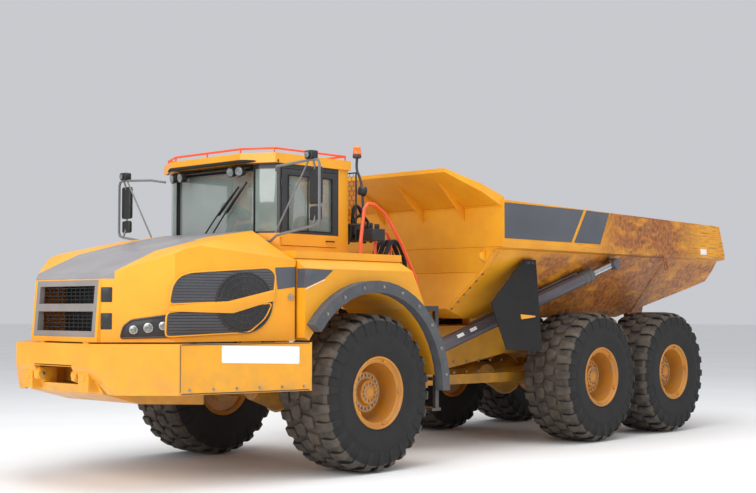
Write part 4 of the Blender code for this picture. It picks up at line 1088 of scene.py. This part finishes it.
def work_lamp(place, way, radius=0.055):
    """A round work lamp: a bucket, a bezel and a flat lens, looking along way."""
    place, way = Vector(place), Vector(way).normalized()
    bucket = rod(place - way * 0.07, place, radius, 20, end_radius=radius * 0.98)
    bezel = rod(place - way * 0.004, place + way * 0.014, radius * 1.06, 24, bevel=0.1)
    glass = rod(place + way * 0.006, place + way * 0.019, radius * 0.86, 24, bevel=0.1)
    return merge([bucket, bezel]), glass


buckets, glasses = [], []
for place, way in ((at(1.13, 0.60, 3.36), (1, 0.25, -0.15)), (at(1.13, -0.60, 3.36), (1, -0.25, -0.15)),
                   (at(-0.33, 1.14, 3.20), (-1, 0.4, -0.2)), (at(1.13, 0.45, 3.36), (1, 0.1, -0.15)),
                   (at(1.13, -0.45, 3.36), (1, -0.1, -0.15))):
    bucket, glass = work_lamp(place, way)
    buckets.append(bucket)
    glasses.append(glass)
fit(merge(buckets), "work_lamps", "front_unit", "dark_paint", BLACK)
fit(merge(glasses), "work_lamp_lenses", "front_unit", "cab_glass", LENS)
print("roof top", round(ROOF_TOP, 3))

# %% [markdown]
# ## Mirrors
# Each side has a bent tube frame with a tall mirror, a small wide-angle one under it and a lamp box
# on top. The heads are moulded shells with rounded edges; the glass looks rearwards.

# %% Mirror frames and heads


def mirror_set():
    out, x = 1.785, AXLE_1 + 1.04
    foot_line = [(0.92, 2.57), (1.02, 2.57), (1.12, 2.63), (1.70, 2.71), (1.765, 2.73), (out, 2.78)]
    head_line = [(out, 3.36), (1.765, 3.405), (1.70, 3.42), (1.12, 3.385)]
    frame_line = [*[(x, y, z) for y, z in foot_line + head_line], at(0.93, 0.99, 3.36)]
    frame_tube = pipe(frame_line, 0.015, smooth=False)
    brace = pipe([(x, 1.62, 3.41), (x, 1.10, 2.66)], 0.010, smooth=False)
    stalk = pipe([(x, 1.69, 2.725), (x - 0.03, 1.69, 2.80), (x - 0.03, 1.69, 3.32), (x, 1.69, 3.415)], 0.012)
    heads = [block((x - 0.075, 1.595, 2.945), (x - 0.020, 1.775, 3.345), 0.024, 4),
             block((x - 0.072, 1.605, 2.770), (x - 0.022, 1.765, 2.920), 0.022, 4)]
    panes = [block((x - 0.079, 1.612, 2.965), (x - 0.073, 1.758, 3.325), 0.002, 1),
             block((x - 0.076, 1.620, 2.785), (x - 0.070, 1.750, 2.905), 0.002, 1)]
    box = block((x - 0.05, 1.60, 3.425), (x + 0.05, 1.72, 3.515), 0.016, 3)
    lamp, glass = work_lamp((x + 0.055, 1.66, 3.465), (1, 0, -0.1), 0.036)
    return merge([frame_tube, brace, stalk]), merge([*heads, box, lamp]), merge(panes), glass


tubes, heads, panes, glass = mirror_set()
fit_pair(heads, "mirror_heads", "front_unit", "dark_paint", BLACK)
fit_pair(panes, "mirror_panes", "front_unit", "rod_chrome", MIRROR)
fit_pair(glass, "mirror_lamp_lens", "front_unit", "cab_glass", LENS)
TUBE_GREY = enamel("grey_tube_enamel", "#77787B", "#67686B", 0.45, dust_share=0.1)
fit_pair(tubes, "mirror_tubes", "front_unit", "dark_paint", TUBE_GREY)
for label in ("left", "right"):
    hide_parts(f"mirror_{label}")
print("mirrors done")

# %% [markdown]
# ## Beacon, air cleaner and guard
# Behind the cab stand the beacon on its thin post, the drum of the air cleaner with its straps, and
# a guard of six-sided mesh that shields the rear window from stones.

# %% Beacon post
post_x = AXLE_1 - 0.33
pole_line = [(1.10, DECK_TOP), (1.10, 3.25), (1.06, 3.38), (1.02, 3.46), (1.02, 3.62)]
pole = pipe([(post_x, y, z) for y, z in pole_line], 0.016)
base = rod((post_x, 1.10, DECK_TOP), (post_x, 1.10, DECK_TOP + 0.02), 0.05, 20)
tie = block((post_x - 0.01, 0.88, 2.80), (post_x + 0.08, 1.11, 2.825), 0.004)
socket = rod((post_x, 1.02, 3.60), (post_x, 1.02, 3.645), 0.052, 24)
beacon_post = fit(merge([pole, base, tie, socket]), "beacon_pole", "front_unit", "dark_paint", DARK)
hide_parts("beacon_post")
DOME = [(0, 0.050), (0.012, 0.054), (0.022, 0.050), (0.075, 0.046), (0.092, 0.036), (0.103, 0.018), (0.105, 0.004)]
dome = lathe(DOME, (post_x, 1.02, 3.645), "Z", 28)
fit(close_and_face_out(dome), "beacon_dome", "front_unit", "orange_rail", AMBER)

# %% Guard mesh behind the cab


def hex_guard(x, low, high, size=0.075, wire=0.0035):
    """A sheet of six-sided wire mesh across Y and Z, cut to a rectangle."""
    (y0, z0), (y1, z1) = low, high
    rows = int((z1 - z0) / (size * 0.75)) + 1
    grid = bmesh.new()
    for row in range(rows):
        for column in range(int((y1 - y0) / (size * 0.866)) + 1):
            cy = y0 + (column + 0.5 * (row % 2)) * size * 0.866
            cz = z0 + row * size * 0.75
            ring = [(x, min(y1, max(y0, cy + size / 2 * math.sin(math.radians(60 * k)))),
                     min(z1, max(z0, cz + size / 2 * math.cos(math.radians(60 * k))))) for k in range(6)]
            verts = [grid.verts.new(p) for p in ring]
            for a, b in zip(verts, [*verts[1:], verts[0]]):
                grid.edges.new((a, b))
    bmesh.ops.remove_doubles(grid, verts=grid.verts, dist=0.004)
    mesh = bpy.data.meshes.new("mesh_lines")
    grid.to_mesh(mesh)
    grid.free()
    obj = bpy.data.objects.new("mesh_lines", mesh)
    bpy.context.scene.collection.objects.link(obj)
    choose(obj)
    bpy.ops.object.convert(target="CURVE")
    obj = bpy.context.object
    obj.data.bevel_depth, obj.data.bevel_resolution = wire, 0
    bpy.ops.object.convert(target="MESH")
    wires = bpy.context.object
    border = pipe([(x, y0, z0), (x, y0, z1), (x, y1, z1), (x, y1, z0)], 0.012, smooth=False, closed=True)
    return merge([wires, border])


guard = hex_guard(AXLE_1 - 0.262, (-0.82, 2.62), (1.07, 3.42))
fit(guard, "rear_guard", "front_unit", "dark_paint", BLACK)

# %% Air cleaner straps, cap and hoses
drum = AXLE_1 - 0.43
straps = [lathe([(y, 0.150), (y, 0.158), (y + 0.035, 0.158), (y + 0.035, 0.150)], (drum, 0, DECK_TOP + 0.20), steps=32)
          for y in (-0.42, -0.02, 0.20)]
cap_end = rod((drum, 0.345, DECK_TOP + 0.20), (drum, 0.385, DECK_TOP + 0.20), 0.135, 32)
fit(merge([*[close_and_face_out(s) for s in straps], cap_end]), "cleaner_straps", "front_unit", "dark_paint", BLACK)
# Each hose's radius, and its points ahead of the drum's axis, to the left and above the deck.
HOSES = (
    (0.045, ((0, 0.38, 0.22), (-0.02, 0.52, 0.26), (-0.04, 0.66, 0.16), (-0.05, 0.70, -0.02))),
    (0.022, ((-0.16, 0.90, -0.01), (-0.10, 0.92, 0.30), (0.05, 0.95, 0.42), (0.10, 0.95, 0.30), (0.08, 0.95, -0.01))),
    (0.018, ((-0.10, 1.06, -0.01), (-0.05, 1.06, 0.22), (0.08, 1.04, 0.30), (0.16, 1.00, 0.16), (0.17, 0.98, -0.01))),
)
hoses = [pipe([(drum + ahead, y, DECK_TOP + up) for ahead, y, up in line], radius) for radius, line in HOSES]
fit(merge(hoses), "cab_hoses", "front_unit", "flare_rubber", FLAP)
tank = rod((drum - 0.02, 0.60, DECK_TOP + 0.001), (drum - 0.02, 0.60, DECK_TOP + 0.36), 0.09, 28, bevel=0.3)
tank_cap = rod((drum - 0.02, 0.60, DECK_TOP + 0.35), (drum - 0.02, 0.60, DECK_TOP + 0.40), 0.045, 20)
fit(merge([tank, tank_cap]), "expansion_tank", "front_unit", "dark_paint", BLACK)
runs = [pipe([at(-0.56, y, 2.46), at(-0.70, y - 0.02, 2.62), at(-0.92, y - 0.06, 2.52),
              at(-1.02, y - 0.12, 2.05), at(-0.98, y - 0.20, 1.60)], 0.028) for y in (1.08, 1.17, 1.26)]
fit(merge(runs), "frame_joint_hoses", "front_unit", "flare_rubber", FLAP)
valve_block = merge([block(at(-0.52, 1.02, DECK_TOP + 0.001), at(-0.30, 1.30, DECK_TOP + 0.14), 0.012, 2),
                     rod(at(-0.46, 1.10, DECK_TOP + 0.13), at(-0.46, 1.10, DECK_TOP + 0.22), 0.04, 18),
                     rod(at(-0.46, 1.22, DECK_TOP + 0.13), at(-0.46, 1.22, DECK_TOP + 0.20), 0.03, 18)])
fit(valve_block, "valve_block", "front_unit", "dark_paint", BLACK)
filter_cover = block((drum - 0.10, 0.74, DECK_TOP + 0.001), (drum + 0.14, 0.90, DECK_TOP + 0.22), 0.03, 4)
fit(filter_cover, "filter_cover", "front_unit", "dark_paint", DARK)
print("behind the cab done")

# %% Blank band on the fender
# The band runs on past the hood's seam and ends in a point, with a thin pale line below it.
FENDER_SIDE = 1.62
fender_band = plate([at(1.085, 2.255), at(0.67, 2.245), at(0.80, 2.15), at(1.085, 2.05)],
                    "Y", FENDER_SIDE - 0.0005, FENDER_SIDE + 0.0025)
step_band = block(at(1.0892, 1.504, 2.05), at(1.0925, FENDER_SIDE + 0.002, 2.255), 0.0004, 1)
fit_pair(merge([fender_band, step_band]), "fender_band", "front_unit", "dark_paint", DECAL)
pale_line = strip([at(1.083, FENDER_SIDE + 0.001, 2.035), at(0.79, FENDER_SIDE + 0.001, 2.14)], 0.004)
fit_pair(pale_line, "fender_line", "front_unit", "grey_paint", WHITE)

# %% Flare bolts
FLARE_CENTRE = Vector(at(0.08, 0, 0.89))
flare_spots = []
for angle in np.radians(np.linspace(48, 172, 9)):
    flare_spots.append((FLARE_CENTRE.x + 1.185 * math.cos(angle), 1.7405, FLARE_CENTRE.z + 1.185 * math.sin(angle)))
fit_pair(bolts(flare_spots, Vector((0, 1, 0)), 0.014), "flare_bolts", "front_unit", "dark_paint", STEEL)

# %% [markdown]
# ## Dump body
# The load box is welded from wear plate. Its headboard has a rolled-over spoiler with folds and
# gussets, its flanks carry a dark blank band with a slanting gap, and a bolted flange runs down the
# front edge. These are thin plates and strips laid on the solid's faces.

# %% Headboard folds and gussets


def laid(obj, centre, along, out):
    """Moves a shape made at the origin so that its X runs along and its Z points out."""
    along, out = along.normalized(), out.normalized()
    turn = Matrix((along, out.cross(along), out)).transposed().to_4x4()
    placed = again(obj, Matrix.Translation(centre) @ turn)
    bpy.data.objects.remove(obj)
    return placed


folds = [strip([(BED_FRONT + 0.003, -half, z), (BED_FRONT + 0.003, half, z)], 0.011)
         for z, half in ((2.30, 1.29), (2.62, BED_SIDE - 0.02), (3.13, BED_SIDE - 0.02))]
gussets = [plate([(BED_FRONT, 2.96), (BED_FRONT, 3.14), (BED_FRONT + 0.55, 3.435), (BED_FRONT + 0.53, 3.41),
                  (BED_FRONT + 0.04, 3.00)], "Y", y - 0.007, y + 0.007, 0.003) for y in (-1.05, -0.35, 0.35, 1.05)]
lifting_lug = plate([(BED_FRONT, 2.42), (BED_FRONT + 0.11, 2.46), (BED_FRONT + 0.12, 2.52), (BED_FRONT, 2.58)],
                    "Y", 1.36, 1.40, 0.008)
fit(merge([*folds, *gussets, lifting_lug]), "headboard_folds", "dump_bed", "yellow_paint", BOX_ENAMEL)

# %% Band and tail plate
BAND_SKIN = (BED_SIDE - 0.0006, BED_SIDE + 0.0012)
long_band = plate([(0.20, 3.165), (0.20, 2.715), (-1.27, 2.715), (-1.57, 3.165)], "Y", *BAND_SKIN)
short_band = plate([(-1.64, 3.165), (-1.34, 2.715), (-1.97, 2.715), (-2.20, 3.155)], "Y", *BAND_SKIN)
fit_pair(merge([long_band, short_band]), "flank_band", "dump_bed", "dark_paint", DECAL)
tail_plate = plate([(-4.78, 2.665), (-4.96, 2.660), (-4.96, 2.745), (-4.78, 2.750)], "Y", *BAND_SKIN)
fit_pair(tail_plate, "tail_plate", "dump_bed", "grey_paint", WHITE)

# %% Flange, weld lines and hooks
V_TOP, V_FOOT = (BED_SIDE - 0.16, 2.58), (0.84, 1.70)
V_OUT = Vector((0, V_TOP[1] - V_FOOT[1], V_FOOT[0] - V_TOP[0])).normalized()


def v_face(x, z, out=0.0):
    """A point on the sloping lower flank."""
    share = (z - V_FOOT[1]) / (V_TOP[1] - V_FOOT[1])
    return Vector((x, V_FOOT[0] + (V_TOP[0] - V_FOOT[0]) * share, z)) + V_OUT * out


flange_line = [v_face(BED_FRONT + ahead, z, 0.004) for ahead, z in ((-0.03, 2.56), (-0.03, 2.30), (0.19, 1.86))]
flange = [strip(flange_line, 0.016)]
inner = [v_face(BED_FRONT + ahead, z, 0.002) for ahead, z in ((-0.14, 2.56), (-0.14, 2.28), (0.08, 1.82))]
flange.append(strip(inner, 0.006))
for x in (-2.9, -4.0):
    flange.append(strip([v_face(x, 2.55, 0.001), v_face(x, 1.76, 0.001)], 0.007))
fit_pair(merge(flange), "flank_flange", "dump_bed", "yellow_paint", BOX_ENAMEL)
bolt_line = [inner[1].lerp(inner[2], s) + Vector((0.06, 0, 0)) for s in np.linspace(0.02, 0.98, 6)]
flange_bolts = bolts(bolt_line, V_OUT, 0.012)
fit_pair(flange_bolts, "flange_bolts", "dump_bed", "dark_paint", STEEL)
hook = pipe([(-3.72, BED_SIDE - 0.035, 2.56), (-3.72, BED_SIDE - 0.008, 2.50), (-3.74, BED_SIDE - 0.012, 2.42),
             (-3.82, BED_SIDE - 0.03, 2.41), (-3.86, BED_SIDE - 0.05, 2.46), (-3.84, BED_SIDE - 0.06, 2.54)], 0.014)
hook_plate = plate([(-3.68, 2.57), (-3.90, 2.57), (-3.90, 2.64), (-3.68, 2.64)],
                   "Y", BED_SIDE - 0.03, BED_SIDE - 0.001, 0.006)
fit_pair(merge([hook, hook_plate]), "tie_hooks", "dump_bed", "yellow_paint", BOX_ENAMEL)
print("dump body done")

# %% Mudflap fittings
FLAP_FACE = BED_SIDE - 0.21 + 0.0165
flap_x = BED_FRONT - 0.70
clamp = block((flap_x - 0.25, FLAP_FACE - 0.0005, 2.41), (flap_x - 0.01, FLAP_FACE + 0.008, 2.45), 0.003, 1)
clamp_bolts = bolts([(flap_x - s, FLAP_FACE + 0.007, 2.43) for s in (0.04, 0.13, 0.22)], Vector((0, 1, 0)), 0.012)
fit_pair(merge([clamp, clamp_bolts]), "flap_clamp", "dump_bed", "dark_paint", DARK)
paddle = plate([(flap_x + 0.10, 1.755), (flap_x + 0.08, 1.690), (flap_x - 0.22, 1.715), (flap_x - 0.22, 1.735)],
               "Y", FLAP_FACE - 0.0005, FLAP_FACE + 0.012, 0.003)
fit_pair(paddle, "flap_paddle", "dump_bed", "yellow_paint", YELLOW)

# %% [markdown]
# ## Rams and frame
# Each dump ram has a bright gland at the barrel's mouth, a dark knuckle on its pin and two small pale
# labels near the foot. Fixed hose loops stand by the frame joint on the rear unit.

# %% Ram fittings
HOIST_FOOT, HOIST_EYE = Vector((0.472, 0.80, 1.33)), Vector((-2.476, 1.56, 2.46))
RUN = (HOIST_EYE - HOIST_FOOT).normalized()


def along_ram(distance):
    return HOIST_FOOT + RUN * distance


gland = merge([rod(along_ram(start), along_ram(start + 0.08), radius, 28, bevel=0.1)
               for start, radius in ((2.62, 0.101), (2.72, 0.100))])
fit_pair(gland, "hoist_gland", "hoist_barrel_left", "cylinder_paint", CAST)
mouth = along_ram(2.50)
elbow = rod(mouth, mouth + Vector((0, 0, 0.125)), 0.022, 16)
port = merge([elbow, pipe([mouth + Vector((0, 0, 0.115)), along_ram(0.55) + Vector((0, 0, 0.118))], 0.011)])
fit_pair(port, "hoist_port", "hoist_barrel_left", "cylinder_paint", CYLINDER_PAINT)
knuckle = rod((HOIST_EYE.x, 1.482, HOIST_EYE.z), (HOIST_EYE.x, 1.648, HOIST_EYE.z), 0.080, 28, bevel=0.2)
fit_pair(knuckle, "hoist_knuckle", "hoist_rod_left", "cylinder_paint", CYLINDER_PAINT)
facing = Vector((0.675, 0.735, 0.25))
facing = (facing - RUN * facing.dot(RUN)).normalized()
labels = [laid(block((-0.055, -0.022, 0.0), (0.055, 0.022, 0.0015), 0.0005, 1),
               along_ram(distance) + facing * 0.0950, RUN, facing) for distance in (0.34, 0.56)]
fit_pair(merge(labels), "hoist_labels", "hoist_barrel_left", "grey_paint", WHITE)

# %% Frame hoses and bolts
loops = [pipe([(0.70, y, 1.40), (0.74, y, 1.80), (0.64, y + 0.02, 2.02), (0.50, y, 1.86), (0.46, y, 1.40)], 0.017)
         for y in (0.40, 0.46, 0.52)]
fit_pair(merge(loops), "frame_hoses", "rear_unit", "flare_rubber", FLAP)
RAIL_OUT = 0.55
frame_spots = [(x, RAIL_OUT + 0.0005, z) for x in np.linspace(-1.2, 0.1, 6) for z in (0.98, 1.12)]
frame_bolts = bolts(frame_spots, Vector((0, 1, 0)), 0.014)
fit_pair(frame_bolts, "frame_bolts", "rear_unit", "dark_paint", STEEL)

# %% [markdown]
# ## Driver's seat
# The driver's seat is foam under woven cloth: crowned pads with sewn channels. Each pad starts as a
# cube, is cut into a grid, swells in its middle and dips along the seams.

# %% Padded seat
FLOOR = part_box("seat")[0].z


def pad(low, high, crown, channels, thin="Z"):
    """A crowned pad: swollen across its thin way, waisted between its corners, with sewn channels along X or Z."""
    obj = block(low, high, 0.03, 3)
    edit(obj)
    bpy.ops.mesh.subdivide(number_cuts=9)
    bpy.ops.object.mode_set(mode="OBJECT")
    centre, half = (Vector(low) + Vector(high)) / 2, (Vector(high) - Vector(low)) / 2
    way = "XYZ".index(thin)
    across, long = 1, 0 if thin == "Z" else 2
    for point in obj.data.vertices:
        u = (point.co - centre)
        s, t, w = u[across] / half[across], u[long] / half[long], u[way] / half[way]
        groove = sum(math.exp(-((s - c) / 0.055) ** 2) for c in channels)
        point.co[way] += w * (crown * (1 - s * s) * (1 - t * t) - 0.010 * groove)
        point.co[across] -= 0.012 * s * (1 - t * t)
    return obj


cushion = pad(at(-0.02, -0.255, FLOOR + 0.21), at(0.47, 0.255, FLOOR + 0.325), 0.016, (-0.5, 0.5))
backrest = pad(at(-0.075, -0.235, FLOOR + 0.30), at(0.045, 0.235, FLOOR + 0.83), 0.014, (-0.5, 0.5), "X")
for point in backrest.data.vertices:
    point.co.x -= 0.10 * (point.co.z - FLOOR - 0.55)
seat = fit(merge([cushion, backrest]), "driver_seat", "front_unit", "seat_cloth", CLOTH, angle=60)
pedestal = merge([block(at(0.02, -0.17, FLOOR), at(0.38, 0.17, FLOOR + 0.05), 0.01, 2),
                  block(at(0.06, -0.12, FLOOR + 0.05), at(0.34, 0.12, FLOOR + 0.205), 0.02, 2)])
fit(pedestal, "seat_pedestal", "front_unit", "dark_paint", DARK)
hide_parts("seat")
print("seat done")

# %% [markdown]
# ## Floor
# The floor is a pale sheet far larger than the truck, so that its edge never shows.

# %% Floor
floor = add("plane", size=1, location=(0, 0, -0.002))
edit(floor)
bpy.ops.transform.resize(value=(240, 240, 1), center_override=(0, 0, -0.002))
bpy.ops.mesh.subdivide(number_cuts=4)
bpy.ops.object.mode_set(mode="OBJECT")
FLOOR_FINISH, concrete = start_finish("pale_studio_floor", 0.9)
pale = add_node(FLOOR_FINISH, "Mix", {0: grain(FLOOR_FINISH, 2.5), 6: "#F4F4F3", 7: "#F0F0EF"}, 2, **COLOURS)
finish_with(FLOOR_FINISH, concrete, pale)
floor = done(floor, "studio_floor", FLOOR_FINISH)
print("floor", [round(v, 1) for v in floor.dimensions])
